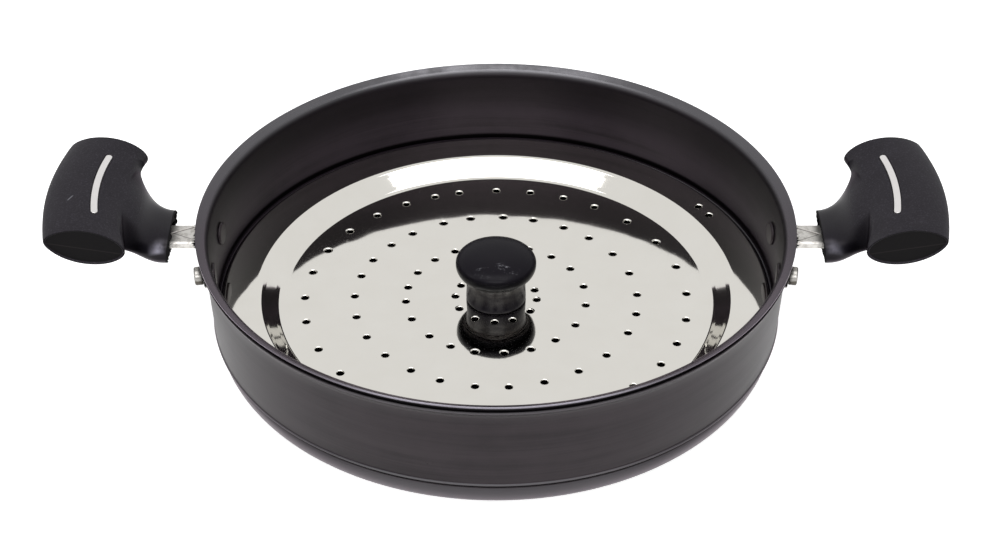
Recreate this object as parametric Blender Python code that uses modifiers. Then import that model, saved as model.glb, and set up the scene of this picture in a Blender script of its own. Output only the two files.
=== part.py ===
"""Multi kadai: a shallow hard-anodised pan, two moulded side handles and a lift-out perforated dish plate.

The pan stands on its base at z = 0 with its axis on Z. The handles lie along X, and the plate lifts along +Z.
Every size is in metres.
"""

from math import asin, cos, degrees, pi, radians, sin, sqrt, tan

import bmesh
import bpy
from mathutils import Euler, Matrix, Vector

MM = 0.001

# Clearances
SEAT_GAP = 0.3 * MM  # between two faces that rest on each other
HOLE_CLEARANCE = 0.3 * MM  # all round a shank in its hole

# Pan
LIP_RADIUS = 140.0 * MM
PAN_HEIGHT = 66.0 * MM
WALL = 2.6 * MM
FLOOR = 3.25 * MM
WALL_TAPER = radians(3)
LIP_FILLET = 2.5 * MM
LIP_TURN = radians(60)
LIP_RUN = 1.4 * MM  # straight stretch of lip past its bend
CREASE_HEIGHT = 16.0 * MM
CREASE_STEP = 1.0 * MM
BASE_RADIUS = 122.0 * MM
FLOOR_CORNER = 9.0 * MM
LEDGE_HEIGHT = 21.6 * MM
LEDGE_WIDTH = 3.4 * MM

# Dish plate
SHEET = 0.8 * MM
PLATE_CLEARANCE = 2.2 * MM  # between the plate's edge and the pan's wall
PLATE_SKIRT = 4.2 * MM
FLANGE_WIDTH = 17.3 * MM
BAND_WIDTH = 9.6 * MM
DISH_DEPTH = 7.9 * MM
SHEET_BEND = 1.5 * MM  # outside radius of the plate's folds
STEAM_HOLE_RADIUS = 1.7 * MM
STEAM_RING_RADII = (19.6 * MM, 43.4 * MM, 68.1 * MM, 92.0 * MM)
STEAM_AZIMUTHS = (  # of the holes in each ring, in degrees; the real plate is unevenly punched
    (18, 51, 84, 117, 150, 177, 207, 239, 268, 294, 326, 355),
    (12, 33, 51, 68, 85, 102, 118, 134, 152, 169, 184, 203, 224, 241, 257, 275, 292, 310, 330, 352),
    (2, 17, 32, 47, 60, 74, 87, 101, 113, 128, 140, 153, 165)
    + (179, 193, 207, 221, 235, 248, 262, 275, 289, 304, 319, 336, 349),
    (2, 16, 30, 44, 57, 68, 79, 90, 102, 110, 120, 131, 143, 155, 167)
    + (180, 192, 206, 219, 232, 246, 259, 273, 286, 300, 313, 326, 337, 349),
)
VENT_AZIMUTHS = (28.7, 32.9)

# Knob, and the insert, screw and washer that hold it
KNOB_HEIGHT = 26.5 * MM
KNOB_CAP_RADIUS = 19.2 * MM
KNOB_CAP_WIDEST = 19.0 * MM
KNOB_NECK_RADIUS = 14.3 * MM
KNOB_NECK_TOP = 13.0 * MM
KNOB_DOME_FULLNESS = 2.5
KNOB_INSERT_RADIUS = 4.0 * MM
KNOB_INSERT_LENGTH = 12.0 * MM
KNOB_SCREW_RADIUS = 2.5 * MM
KNOB_SCREW_REACH = 10.0 * MM
KNOB_SCREW_HEAD_RADIUS = 4.75 * MM
KNOB_SCREW_HEAD = 3.0 * MM
WASHER_RADIUS = 6.0 * MM
WASHER_THICKNESS = 1.0 * MM

# Rivets
RIVET_BELOW_LIP = 22.0 * MM
RIVET_SPACING = 34.0 * MM
RIVET_RADIUS = 2.5 * MM
RIVET_INNER_HEAD_RADIUS = 5.5 * MM
RIVET_INNER_HEAD = 1.0 * MM
RIVET_OUTER_HEAD_RADIUS = 4.4 * MM
RIVET_OUTER_HEAD = 3.9 * MM
RIVET_EDGE = 0.8 * MM

# Bracket; reaches are measured out from the pan's wall at the rivets
BRACKET_SHEET = 1.5 * MM
ARM_WIDTH = 15.0 * MM
ARM_DEPTH = 3.3 * MM
ARM_RISE = 11.7 * MM  # top of the arm above the rivets
ARM_FOLD = 0.4 * MM  # easing along the arm's two folds
ARM_BEND_REACH = 14.0 * MM
ARM_SIDES_REACH = 22.0 * MM
TONGUE_REACH = 31.5 * MM
EAR_HALF_HEIGHT = 5.5 * MM
EAR_ROOT = 11.8 * MM  # from the handle's middle to where an ear begins

# Handle
NECK_REACH = 17.3 * MM  # middle of the neck's flat end, which leans as the grip does
NECK_HALF_WIDTH = 15.5 * MM
NECK_HALF_HEIGHT = 7.8 * MM
NECK_RISE_START = 4.0 * MM  # past the neck's end
NECK_RISE_LENGTH = 23.0 * MM
NECK_INTO_GRIP = 27.0 * MM
NECK_FULLNESS = 3.2
THROAT_LENGTH = 16.5 * MM
THROAT_INSET = 5.0 * MM  # from the throat's widest point to the grip's end
GRIP_REACH = 53.9 * MM
GRIP_RISE = 20.4 * MM  # middle of the grip above the arm
GRIP_TILT = radians(10)
GRIP_LENGTH = 78.0 * MM
GRIP_HALF_WIDTH = 18.7 * MM
GRIP_HALF_HEIGHT = 9.3 * MM
GRIP_BOW = 5.0 * MM  # how far the middle stands out from the ends
GRIP_EDGE = 0.7 * MM

# Handle screw and its insert
SCREW_REACH = 26.8 * MM
SCREW_PAD = 1.8 * MM  # moulding between the screw's head and the tongue
SCREW_RADIUS = 2.0 * MM
SCREW_HEAD_RADIUS = 3.8 * MM
SCREW_HEAD = 2.6 * MM
INSERT_RADIUS = 3.0 * MM
INSERT_LENGTH = 4.0 * MM
SCREW_SHORT_OF_INSERT = 1.0 * MM
SCREW_EDGE = 0.6 * MM
CROSS_WIDTH = 0.9 * MM
CROSS_DEPTH = 1.2 * MM

# Inlay strip on each grip
INLAY_LENGTH = 48.0 * MM
INLAY_WIDTH = 3.0 * MM
INLAY_THICKNESS = 1.1 * MM
INLAY_SUNK = 0.1 * MM
INLAY_BOW = 2.4 * MM
INLAY_INSET = 3.9 * MM  # from the grip's middle towards the pan

# Smoothness of round pieces
PAN_STEPS = 64
KNOB_STEPS = 36
SMALL_STEPS = 16
STEAM_HOLE_SIDES = 8
GRIP_SIDES = 24
GRIP_CUTS = 7
NECK_SECTIONS = 10

# Heights and radii that follow from those
LIP_MIDDLE = LIP_FILLET + WALL / 2
BEND_LEVEL = PAN_HEIGHT - LIP_MIDDLE * sin(LIP_TURN) - LIP_RUN * cos(LIP_TURN) - WALL / 2
BEND_RADIUS = LIP_RADIUS - WALL / 2 - LIP_RUN * sin(LIP_TURN) + LIP_MIDDLE * cos(LIP_TURN)


def wall_outside(z):
    return BEND_RADIUS - LIP_FILLET - (BEND_LEVEL - z) * tan(WALL_TAPER)


def wall_inside(z):
    return wall_outside(z) - WALL


PLATE_SEAT = LEDGE_HEIGHT + SEAT_GAP
FLANGE_TOP = PLATE_SEAT + PLATE_SKIRT
DISC_TOP = FLANGE_TOP - DISH_DEPTH
PLATE_RADIUS = wall_inside(FLANGE_TOP) - PLATE_CLEARANCE
FLANGE_INNER = PLATE_RADIUS - FLANGE_WIDTH
DISC_RADIUS = FLANGE_INNER - BAND_WIDTH
KNOB_HOLE = KNOB_SCREW_RADIUS + HOLE_CLEARANCE
RIVET_HEIGHT = PAN_HEIGHT - RIVET_BELOW_LIP
RIVET_WALL = wall_outside(RIVET_HEIGHT)
RIVET_AZIMUTH = asin(RIVET_SPACING / 2 / RIVET_WALL)
ARM_TOP = RIVET_HEIGHT + ARM_RISE
ARM_MIDDLE = ARM_TOP - ARM_DEPTH / 2
TONGUE_UNDER = ARM_TOP - BRACKET_SHEET
NECK_END = RIVET_WALL + NECK_REACH
SCREW_PLACE = RIVET_WALL + SCREW_REACH
SCREW_HOLE = SCREW_RADIUS + HOLE_CLEARANCE
SPOT_FACE = TONGUE_UNDER - SEAT_GAP - SCREW_PAD
INSERT_BOTTOM = ARM_TOP + 2 * SEAT_GAP
INSERT_TOP = INSERT_BOTTOM + INSERT_LENGTH


# Scene and materials


def new_collection(name):
    made = bpy.data.collections.new(name)
    bpy.context.scene.collection.children.link(made)
    return made


def new_material(name, colour, roughness, metallic):
    made = bpy.data.materials.new(name)
    made.use_nodes = True
    made.diffuse_color = (*colour, 1)
    shader = made.node_tree.nodes["Principled BSDF"]
    shader.inputs["Base Color"].default_value = (*colour, 1)
    shader.inputs["Roughness"].default_value = roughness
    shader.inputs["Metallic"].default_value = metallic
    return made


for leftover in list(bpy.data.objects):
    bpy.data.objects.remove(leftover, do_unlink=True)
PARTS = new_collection("multi_kadai")
CUTTERS = new_collection("cutters")
ANODISED = new_material("hard_anodised", (0.045, 0.045, 0.05), 0.42, 0.6)
MIRROR_STEEL = new_material("mirror_steel", (0.80, 0.79, 0.77), 0.06, 1.0)
MATTE_BAKELITE = new_material("matte_bakelite", (0.026, 0.025, 0.028), 0.55, 0.0)
GLOSS_BAKELITE = new_material("gloss_bakelite", (0.012, 0.012, 0.014), 0.28, 0.0)
BRACKET_STEEL = new_material("bracket_steel", (0.62, 0.61, 0.59), 0.35, 1.0)
INLAY_STEEL = new_material("inlay_steel", (0.72, 0.71, 0.69), 0.30, 1.0)
RIVET_METAL = new_material("rivet_aluminium", (0.60, 0.60, 0.58), 0.30, 1.0)
SCREW_STEEL = new_material("screw_steel", (0.55, 0.55, 0.56), 0.30, 1.0)
BRASS = new_material("insert_brass", (0.72, 0.55, 0.26), 0.35, 1.0)


# Shapes


def add_object(name, mesh, material=None, parent=None):
    """An object of the part, or a cutter where it has no material."""
    obj = bpy.data.objects.new(name, mesh)
    obj.parent = parent
    if material:
        PARTS.objects.link(obj)
        mesh.materials.append(material)
    else:
        CUTTERS.objects.link(obj)
        obj.hide_render = True
        obj.display_type = "WIRE"
    return obj


def add_empty(name, parent=None):
    obj = bpy.data.objects.new(name, None)
    PARTS.objects.link(obj)
    obj.parent = parent
    return obj


def mesh_from(name, bm):
    mesh = bpy.data.meshes.new(name)
    bm.to_mesh(mesh)
    bm.free()
    mesh.shade_smooth()
    mesh.set_sharp_from_angle(angle=radians(35))
    return mesh


def boolean(obj, other, operation="DIFFERENCE"):
    modifier = obj.modifiers.new(other.name, "BOOLEAN")
    modifier.operation = operation
    modifier.object = other


def arc(centre, radius, start, end, count, radius_z=None):
    """Points (r, z) from one angle in degrees to another, round a circle, or an ellipse with its own height."""
    radius_z = radius_z or radius
    angles = [radians(start + (end - start) * i / (count - 1)) for i in range(count)]
    return [(centre[0] + radius * cos(a), centre[1] + radius_z * sin(a)) for a in angles]


def on_circle(radius, azimuth):
    return radius * cos(radians(azimuth)), radius * sin(radians(azimuth))


def rounded(points, radius, count=3):
    """A polyline with an arc of this radius in place of each inner corner."""
    path = [points[0]]
    for before, corner, after in zip(points, points[1:], points[2:]):
        corner = Vector(corner)
        back = (Vector(before) - corner).normalized()
        ahead = (Vector(after) - corner).normalized()
        half = back.angle(ahead) / 2
        centre = corner + (back + ahead).normalized() * radius / sin(half)
        start = corner + back * radius / tan(half) - centre
        end = corner + ahead * radius / tan(half) - centre
        turn = start.angle_signed(end)
        path += [tuple(centre + Matrix.Rotation(-turn * i / (count - 1), 2) @ start) for i in range(count)]
    return path + [points[-1]]


def turned(name, profile, steps, material, closed=False, parent=None):
    """A round piece: the profile (r, z) swept about Z, running down its outer side."""
    edges = [(i, i + 1) for i in range(len(profile) - 1)]
    if closed:
        edges.append((len(profile) - 1, 0))
    mesh = bpy.data.meshes.new(name)
    mesh.from_pydata([(r, 0, z) for r, z in profile], edges, [])
    obj = add_object(name, mesh, material, parent)
    screw = obj.modifiers.new("Turn", "SCREW")
    screw.steps = steps
    screw.render_steps = steps
    screw.use_merge_vertices = True
    screw.merge_threshold = 0.00001
    screw.use_smooth_shade = True
    return obj


def loft(name, rings, material=None, parent=None):
    """A closed solid through unlike sections, each with as many points as the next."""
    bm = bmesh.new()
    made = [[bm.verts.new(point) for point in ring] for ring in rings]
    for ring, following in zip(made, made[1:]):
        for i, vert in enumerate(ring):
            j = (i + 1) % len(ring)
            bm.faces.new((vert, ring[j], following[j], following[i]))
    bm.faces.new(made[0])
    bm.faces.new(made[-1])
    bmesh.ops.recalc_face_normals(bm, faces=bm.faces)
    return add_object(name, mesh_from(name, bm), material, parent)


def flat_piece(name, outline, bottom, top, material=None, parent=None):
    """A filled outline (x, y) with a thickness, as one welded mesh."""
    curve = bpy.data.curves.new(name, "CURVE")
    curve.dimensions = "2D"
    curve.fill_mode = "BOTH"
    curve.extrude = (top - bottom) / 2
    spline = curve.splines.new("POLY")
    spline.points.add(len(outline) - 1)
    for point, (x, y) in zip(spline.points, outline):
        point.co = (x, y, 0, 1)
    spline.use_cyclic_u = True
    drawn = bpy.data.objects.new(name, curve)
    bpy.context.scene.collection.objects.link(drawn)
    bm = bmesh.new()
    bm.from_mesh(drawn.evaluated_get(bpy.context.evaluated_depsgraph_get()).to_mesh())
    bmesh.ops.remove_doubles(bm, verts=bm.verts, dist=0.00001)
    bmesh.ops.dissolve_limit(bm, angle_limit=radians(1), verts=bm.verts, edges=bm.edges)
    bpy.data.objects.remove(drawn, do_unlink=True)
    obj = add_object(name, mesh_from(name, bm), material, parent)
    obj.location.z = (top + bottom) / 2
    return obj


def cuboid(name, low, high, parent=None):
    """A box cutter between two corners."""
    size = Vector(high) - Vector(low)
    place = Matrix.Translation((Vector(high) + Vector(low)) / 2) @ Matrix.Diagonal((*size, 1))
    bm = bmesh.new()
    bmesh.ops.create_cube(bm, size=1, matrix=place)
    return add_object(name, mesh_from(name, bm), parent=parent)


def drills(name, places, radius, bottom, top, sides=SMALL_STEPS, parent=None):
    """Upright cylindrical cutters at these (x, y) places, in one mesh."""
    bm = bmesh.new()
    for x, y in places:
        bmesh.ops.create_cone(
            bm,
            cap_ends=True,
            segments=sides,
            radius1=radius,
            radius2=radius,
            depth=top - bottom,
            matrix=Matrix.Translation((x, y, (top + bottom) / 2)),
        )
    return add_object(name, mesh_from(name, bm), parent=parent)


# Pan


def pan_profile():
    """From the middle of the floor up the inside, over the lip, and down the outside to the base."""
    ledge_inner = wall_inside(LEDGE_HEIGHT) - LEDGE_WIDTH
    bend = (BEND_RADIUS, BEND_LEVEL)
    edge = (BEND_RADIUS - LIP_MIDDLE * cos(LIP_TURN) + LIP_RUN * sin(LIP_TURN), PAN_HEIGHT - WALL / 2)
    turn = 180 - degrees(LIP_TURN)
    inside = arc((ledge_inner - FLOOR_CORNER, FLOOR + FLOOR_CORNER), FLOOR_CORNER, -90, 0, 4)
    inside += [(ledge_inner, LEDGE_HEIGHT), (wall_inside(LEDGE_HEIGHT), LEDGE_HEIGHT)]
    lip = arc(bend, LIP_FILLET + WALL, 180, turn, 4)
    lip += arc(edge, WALL / 2, turn, turn - 180, 5)[1:-1]
    lip += arc(bend, LIP_FILLET, turn, 180, 4)
    foot = wall_outside(CREASE_HEIGHT) - CREASE_STEP
    band = CREASE_HEIGHT - CREASE_STEP / 2
    outside = [(wall_outside(CREASE_HEIGHT), CREASE_HEIGHT)]
    outside += arc((BASE_RADIUS, band), foot - BASE_RADIUS, 0, -90, 6, band)
    return [(0, FLOOR)] + inside + lip + outside + [(0, 0)]


def place_on_wall(obj, azimuth):
    """Stand an object on the pan's outer wall, with its Z axis pointing straight out of the wall."""
    obj.location = (RIVET_WALL * cos(azimuth), RIVET_WALL * sin(azimuth), RIVET_HEIGHT)
    obj.rotation_euler = Euler((0, pi / 2 + WALL_TAPER, azimuth), "XYZ")


def rivet_hole(name, azimuth, parent=None):
    through = 2 * (WALL + BRACKET_SHEET)
    hole = drills(name, [(0, 0)], RIVET_RADIUS + HOLE_CLEARANCE, -through, through, parent=parent)
    place_on_wall(hole, azimuth)
    return hole


def make_pan():
    pan = turned("pan_body", pan_profile(), PAN_STEPS, ANODISED)
    for number, azimuth in enumerate((-RIVET_AZIMUTH, RIVET_AZIMUTH, pi - RIVET_AZIMUTH, pi + RIVET_AZIMUTH)):
        boolean(pan, rivet_hole(f"pan_rivet_hole_{number}", azimuth))


# Dish plate


def make_plate(parent):
    """A spun sheet with a sunk disc, a flat flange and a down-turned edge that stands on the pan's ledge."""
    corners = [
        (KNOB_HOLE, DISC_TOP),
        (DISC_RADIUS, DISC_TOP),
        (FLANGE_INNER, FLANGE_TOP),
        (PLATE_RADIUS, FLANGE_TOP),
        (PLATE_RADIUS, PLATE_SEAT),
    ]
    plate = turned("dish_plate", rounded(corners, SHEET_BEND), PAN_STEPS, MIRROR_STEEL, parent=parent)
    sheet = plate.modifiers.new("Sheet", "SOLIDIFY")
    sheet.thickness = SHEET
    sheet.offset = -1
    sheet.use_even_offset = True
    places = [
        on_circle(radius, azimuth)
        for radius, azimuths in zip(STEAM_RING_RADII, STEAM_AZIMUTHS)
        for azimuth in azimuths
    ]
    places += [on_circle(PLATE_RADIUS - FLANGE_WIDTH / 2, azimuth) for azimuth in VENT_AZIMUTHS]
    bottom = DISC_TOP - 2 * SHEET
    top = FLANGE_TOP + 2 * SHEET
    boolean(plate, drills("steam_holes", places, STEAM_HOLE_RADIUS, bottom, top, STEAM_HOLE_SIDES, parent))


# Knob, and what holds it on the plate


def sleeve(name, radius, hole, bottom, top, material, parent):
    profile = [(hole, top), (radius, top), (radius, bottom), (hole, bottom)]
    return turned(name, profile, SMALL_STEPS, material, closed=True, parent=parent)


def make_screw(name, radius, head_radius, head, seat, tip, parent):
    """A pan head screw that stands head down, with a cross in its head."""
    bottom = seat - head
    profile = [(0, tip), (radius - SCREW_EDGE, tip), (radius, tip - SCREW_EDGE), (radius, seat), (head_radius, seat)]
    profile += arc((head_radius - SCREW_EDGE, bottom + SCREW_EDGE), SCREW_EDGE, 0, -90, 3) + [(0, bottom)]
    screw = turned(name, profile, SMALL_STEPS, SCREW_STEEL, parent=parent)
    arm = head_radius * 0.55
    half = CROSS_WIDTH / 2
    low, high = bottom - CROSS_DEPTH, bottom + CROSS_DEPTH
    boolean(screw, cuboid(f"{name}_cross_a", (-arm, -half, low), (arm, half, high), screw))
    boolean(screw, cuboid(f"{name}_cross_b", (-half, -arm, low), (half, arm, high), screw))
    return screw


def make_knob(parent):
    seat = DISC_TOP + SEAT_GAP
    widest = seat + KNOB_CAP_WIDEST
    dome = KNOB_HEIGHT - KNOB_CAP_WIDEST
    squash = 2 / KNOB_DOME_FULLNESS
    profile = [(0, seat + KNOB_HEIGHT)]
    for angle in (radians(80 - 10 * i) for i in range(9)):
        profile.append((KNOB_CAP_RADIUS * cos(angle) ** squash, widest + dome * sin(angle) ** squash))
    rim = KNOB_CAP_RADIUS - KNOB_NECK_RADIUS
    profile += arc((KNOB_NECK_RADIUS, widest), rim, -15, -90, 5, KNOB_CAP_WIDEST - KNOB_NECK_TOP)
    bore = KNOB_INSERT_RADIUS + HOLE_CLEARANCE
    bore_top = seat + KNOB_INSERT_LENGTH + 2 * SEAT_GAP
    profile += [(KNOB_NECK_RADIUS, seat), (bore, seat), (bore, bore_top), (0, bore_top)]
    turned("knob", profile, KNOB_STEPS, GLOSS_BAKELITE, parent=parent)


def make_plate_group():
    lift = add_empty("plate_lift")
    make_plate(lift)
    make_knob(lift)
    insert_bottom = DISC_TOP + 2 * SEAT_GAP
    insert_top = insert_bottom + KNOB_INSERT_LENGTH
    sleeve("knob_insert", KNOB_INSERT_RADIUS, KNOB_HOLE, insert_bottom, insert_top, BRASS, lift)
    washer_top = DISC_TOP - SHEET - SEAT_GAP
    washer_bottom = washer_top - WASHER_THICKNESS
    sleeve("knob_washer", WASHER_RADIUS, KNOB_HOLE, washer_bottom, washer_top, SCREW_STEEL, lift)
    seat = washer_bottom - SEAT_GAP
    tip = DISC_TOP + KNOB_SCREW_REACH
    make_screw("knob_screw", KNOB_SCREW_RADIUS, KNOB_SCREW_HEAD_RADIUS, KNOB_SCREW_HEAD, seat, tip, lift)


# Rivets and bracket


def make_rivet(name, azimuth, parent):
    """A low head inside the pan, a shank, and a round-edged head outside the bracket's ear."""
    seat = 2 * SEAT_GAP + BRACKET_SHEET
    top = seat + RIVET_OUTER_HEAD
    rise_of_wall = RIVET_INNER_HEAD_RADIUS**2 / (2 * (RIVET_WALL - WALL))
    inner = -WALL - SEAT_GAP - rise_of_wall
    bottom = inner - RIVET_INNER_HEAD
    profile = [(0, top)] + arc((RIVET_OUTER_HEAD_RADIUS - RIVET_EDGE, top - RIVET_EDGE), RIVET_EDGE, 90, 0, 3)
    profile += [(RIVET_OUTER_HEAD_RADIUS, seat), (RIVET_RADIUS, seat), (RIVET_RADIUS, inner)]
    profile += [(RIVET_INNER_HEAD_RADIUS, inner), (RIVET_INNER_HEAD_RADIUS - RIVET_INNER_HEAD, bottom), (0, bottom)]
    place_on_wall(turned(name, profile, SMALL_STEPS, RIVET_METAL, parent=parent), azimuth)


def ear_section(azimuth, half_height):
    """The corners of an ear's section: low by the wall, low outside, high outside, high by the wall."""
    corners = []
    for out, up in ((0, -1), (1, -1), (1, 1), (0, 1)):
        z = RIVET_HEIGHT + up * half_height
        radius = wall_outside(z) + SEAT_GAP + out * BRACKET_SHEET
        corners.append((radius * cos(azimuth), radius * sin(azimuth), z))
    return corners


def strap_sections(hand):
    """One side of the arm, from inside the handle to the round tip of its ear. The hand is 1 or -1."""
    middle = (ARM_WIDTH - BRACKET_SHEET) / 2
    sections = []
    for reach in (ARM_SIDES_REACH, ARM_BEND_REACH):
        inner, outer = middle - BRACKET_SHEET / 2, middle + BRACKET_SHEET / 2
        low, high = ARM_TOP - ARM_DEPTH, ARM_TOP - ARM_FOLD
        corners = ((inner, low), (outer, low), (outer, high), (inner, high))
        sections.append([(RIVET_WALL + reach, y, z) for y, z in corners])
    sections.append(ear_section(asin(EAR_ROOT / RIVET_WALL), EAR_HALF_HEIGHT))
    for i in range(6):
        along = 0.98 * sin(pi / 2 * i / 5)
        azimuth = RIVET_AZIMUTH + along * EAR_HALF_HEIGHT / RIVET_WALL
        sections.append(ear_section(azimuth, EAR_HALF_HEIGHT * sqrt(1 - along**2)))
    return [[(x, hand * y, z) for x, y, z in section] for section in sections]


def make_bracket(side, parent):
    """A channel arm whose sides splay into two ears, with a flat tongue that reaches into the handle."""
    half = ARM_WIDTH / 2 - ARM_FOLD
    bend = RIVET_WALL + ARM_BEND_REACH
    splay = (bend - 2.6 * BRACKET_SHEET, half + BRACKET_SHEET * 0.8)
    tip = RIVET_WALL + TONGUE_REACH
    upper = [splay, (bend, half), (tip, half)]
    outline = upper + [(x, -y) for x, y in reversed(upper)]
    bracket = flat_piece(f"{side}_bracket", outline, TONGUE_UNDER, ARM_TOP, BRACKET_STEEL, parent)
    for hand, end in ((1, "a"), (-1, "b")):
        boolean(bracket, loft(f"{side}_strap_{end}", strap_sections(hand), parent=parent), "UNION")
        boolean(bracket, rivet_hole(f"{side}_ear_hole_{end}", hand * RIVET_AZIMUTH, parent))
    low, high = TONGUE_UNDER - BRACKET_SHEET, ARM_TOP + BRACKET_SHEET
    boolean(bracket, drills(f"{side}_tongue_hole", [(SCREW_PLACE, 0)], SCREW_HOLE, low, high, parent=parent))


# Handle


def ease(share):
    share = min(max(share, 0), 1)
    return share * share * (3 - 2 * share)


def full_oval(half_width, half_height):
    """Points round an oval with full corners."""
    points = []
    for i in range(GRIP_SIDES):
        angle = 2 * pi * (i + 0.5) / GRIP_SIDES
        x, y = (abs(part) ** (2 / NECK_FULLNESS) * (1 if part > 0 else -1) for part in (cos(angle), sin(angle)))
        points.append((half_width * x, half_height * y))
    return points


def neck_sections():
    """From its flat end round the bracket's arm the neck rises into the grip, and its throat widens there."""
    widest = GRIP_LENGTH / 2 - THROAT_INSET
    half_height = 0.75 * GRIP_HALF_HEIGHT
    climb = ARM_TOP + GRIP_RISE - ARM_MIDDLE
    sections = []
    for i in range(NECK_SECTIONS + 1):
        along = NECK_INTO_GRIP * i / NECK_SECTIONS
        rise = ease((along - NECK_RISE_START) / NECK_RISE_LENGTH)
        throat = sqrt(1 - min(along / THROAT_LENGTH, 1) ** 2)
        wide = widest - (widest - NECK_HALF_WIDTH) * throat
        high = NECK_HALF_HEIGHT + (half_height - NECK_HALF_HEIGHT) * rise
        level = ARM_MIDDLE + climb * rise
        oval = full_oval(wide, high)
        sections.append([(NECK_END + along - z * tan(GRIP_TILT), y, level + z) for y, z in oval])
    return sections


def bow(along, length, depth):
    """How far an arc of this chord and depth has fallen back from its middle."""
    radius = (length**2 / 4 + depth**2) / (2 * depth)
    return sqrt(radius**2 - along**2) - radius


def make_grip_bar(name, parent):
    """An oval bar along Y with square, eased ends, bowed so that its middle stands out from the pan."""
    bm = bmesh.new()
    lying = Matrix.Diagonal((GRIP_HALF_WIDTH, GRIP_LENGTH, GRIP_HALF_HEIGHT, 1)) @ Matrix.Rotation(pi / 2, 4, "X")
    bmesh.ops.create_cone(bm, cap_ends=True, segments=GRIP_SIDES, radius1=1, radius2=1, depth=1, matrix=lying)
    long_edges = [edge for edge in bm.edges if edge.calc_length() > GRIP_LENGTH / 2]
    bmesh.ops.subdivide_edges(bm, edges=long_edges, cuts=GRIP_CUTS)
    for vert in bm.verts:
        vert.co.x += bow(vert.co.y, GRIP_LENGTH, GRIP_BOW)
    bar = add_object(name, mesh_from(name, bm), MATTE_BAKELITE, parent)
    ends = bar.modifiers.new("Eased ends", "BEVEL")
    ends.width = GRIP_EDGE
    ends.segments = 2
    ends.angle_limit = radians(60)
    return bar


def inlay_outline(grow):
    """Two arcs joined by round ends. The strip grows on every side for its groove."""
    radius = (INLAY_LENGTH**2 / 4 + INLAY_BOW**2) / (2 * INLAY_BOW)
    half = INLAY_WIDTH / 2 + grow
    swing = degrees(asin((INLAY_LENGTH - INLAY_WIDTH) / 2 / radius))
    centre = (-INLAY_INSET - radius, 0)
    near, far = (arc(centre, radius, angle, angle, 2)[0] for angle in (-swing, swing))
    outline = arc(centre, radius + half, -swing, swing, 9)
    outline += arc(far, half, swing, swing + 180, 6)[1:-1]
    outline += arc(centre, radius - half, swing, -swing, 9)
    outline += arc(near, half, 180 - swing, 360 - swing, 6)[1:-1]
    return outline


def make_grip(side, mount, frame):
    grip = make_grip_bar(f"{side}_handle_grip", frame)
    boolean(grip, loft(f"{side}_neck", neck_sections(), parent=mount), "UNION")
    inlay_top = GRIP_HALF_HEIGHT - INLAY_SUNK
    inlay_bottom = inlay_top - INLAY_THICKNESS
    flat_piece(f"{side}_grip_inlay", inlay_outline(0), inlay_bottom, inlay_top, INLAY_STEEL, frame)
    groove_bottom = inlay_bottom - SEAT_GAP
    groove_top = GRIP_HALF_HEIGHT + INLAY_THICKNESS
    groove = flat_piece(f"{side}_groove", inlay_outline(SEAT_GAP), groove_bottom, groove_top, parent=frame)
    boolean(grip, groove)
    half = ARM_WIDTH / 2 + SEAT_GAP
    outside = NECK_END - BRACKET_SHEET
    sides_end = RIVET_WALL + ARM_SIDES_REACH + SEAT_GAP
    tongue_end = RIVET_WALL + TONGUE_REACH + SEAT_GAP
    top = ARM_TOP + SEAT_GAP
    socket = cuboid(f"{side}_socket", (outside, -half, ARM_TOP - ARM_DEPTH - SEAT_GAP), (sides_end, half, top), mount)
    slot = cuboid(f"{side}_slot", (outside, -half, TONGUE_UNDER - SEAT_GAP), (tongue_end, half, top), mount)
    boolean(grip, socket)
    boolean(grip, slot)
    place = [(SCREW_PLACE, 0)]
    below = ARM_MIDDLE - 2 * NECK_HALF_HEIGHT
    spot_radius = SCREW_HEAD_RADIUS + HOLE_CLEARANCE
    insert_hole = INSERT_RADIUS + HOLE_CLEARANCE
    boolean(grip, drills(f"{side}_screw_hole", place, SCREW_HOLE, below, ARM_TOP, parent=mount))
    boolean(grip, drills(f"{side}_spot_face", place, spot_radius, below, SPOT_FACE, parent=mount))
    boolean(grip, drills(f"{side}_insert_hole", place, insert_hole, ARM_TOP, INSERT_TOP + SEAT_GAP, parent=mount))


def make_handle(side, turn):
    """One handle on the +X side, turned about the pan's axis to its own side."""
    mount = add_empty(f"{side}_handle_mount")
    mount.rotation_euler.z = turn
    frame = add_empty(f"{side}_grip_frame", mount)
    frame.location = (RIVET_WALL + GRIP_REACH, 0, ARM_TOP + GRIP_RISE)
    frame.rotation_euler.y = -GRIP_TILT
    make_grip(side, mount, frame)
    make_bracket(side, mount)
    ends = ("rear", "front") if turn else ("front", "rear")
    for end, azimuth in zip(ends, (-RIVET_AZIMUTH, RIVET_AZIMUTH)):
        make_rivet(f"{side}_{end}_rivet", azimuth, mount)
    seat = SPOT_FACE - SEAT_GAP
    tip = INSERT_TOP - SCREW_SHORT_OF_INSERT
    screw = make_screw(f"{side}_handle_screw", SCREW_RADIUS, SCREW_HEAD_RADIUS, SCREW_HEAD, seat, tip, mount)
    screw.location.x = SCREW_PLACE
    insert = sleeve(f"{side}_handle_insert", INSERT_RADIUS, SCREW_HOLE, INSERT_BOTTOM, INSERT_TOP, BRASS, mount)
    insert.location.x = SCREW_PLACE


make_pan()
make_plate_group()
make_handle("right", 0)
make_handle("left", pi)
for piece in PARTS.objects:
    if piece.type == "MESH":
        piece.modifiers.new("Even shading", "WEIGHTED_NORMAL")
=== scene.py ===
# %% [markdown]
# # A pan that steams and serves
#
# We dress a shallow cooking pan for its portrait: a dark, hard-anodised pan with two moulded handles,
# and a bright steel plate that lies inside it on a ledge and lifts out by its knob.
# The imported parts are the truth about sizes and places. Each piece below is a finer copy of one of them,
# with the small shapes that catch the light, or the part itself with a better finish.

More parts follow.
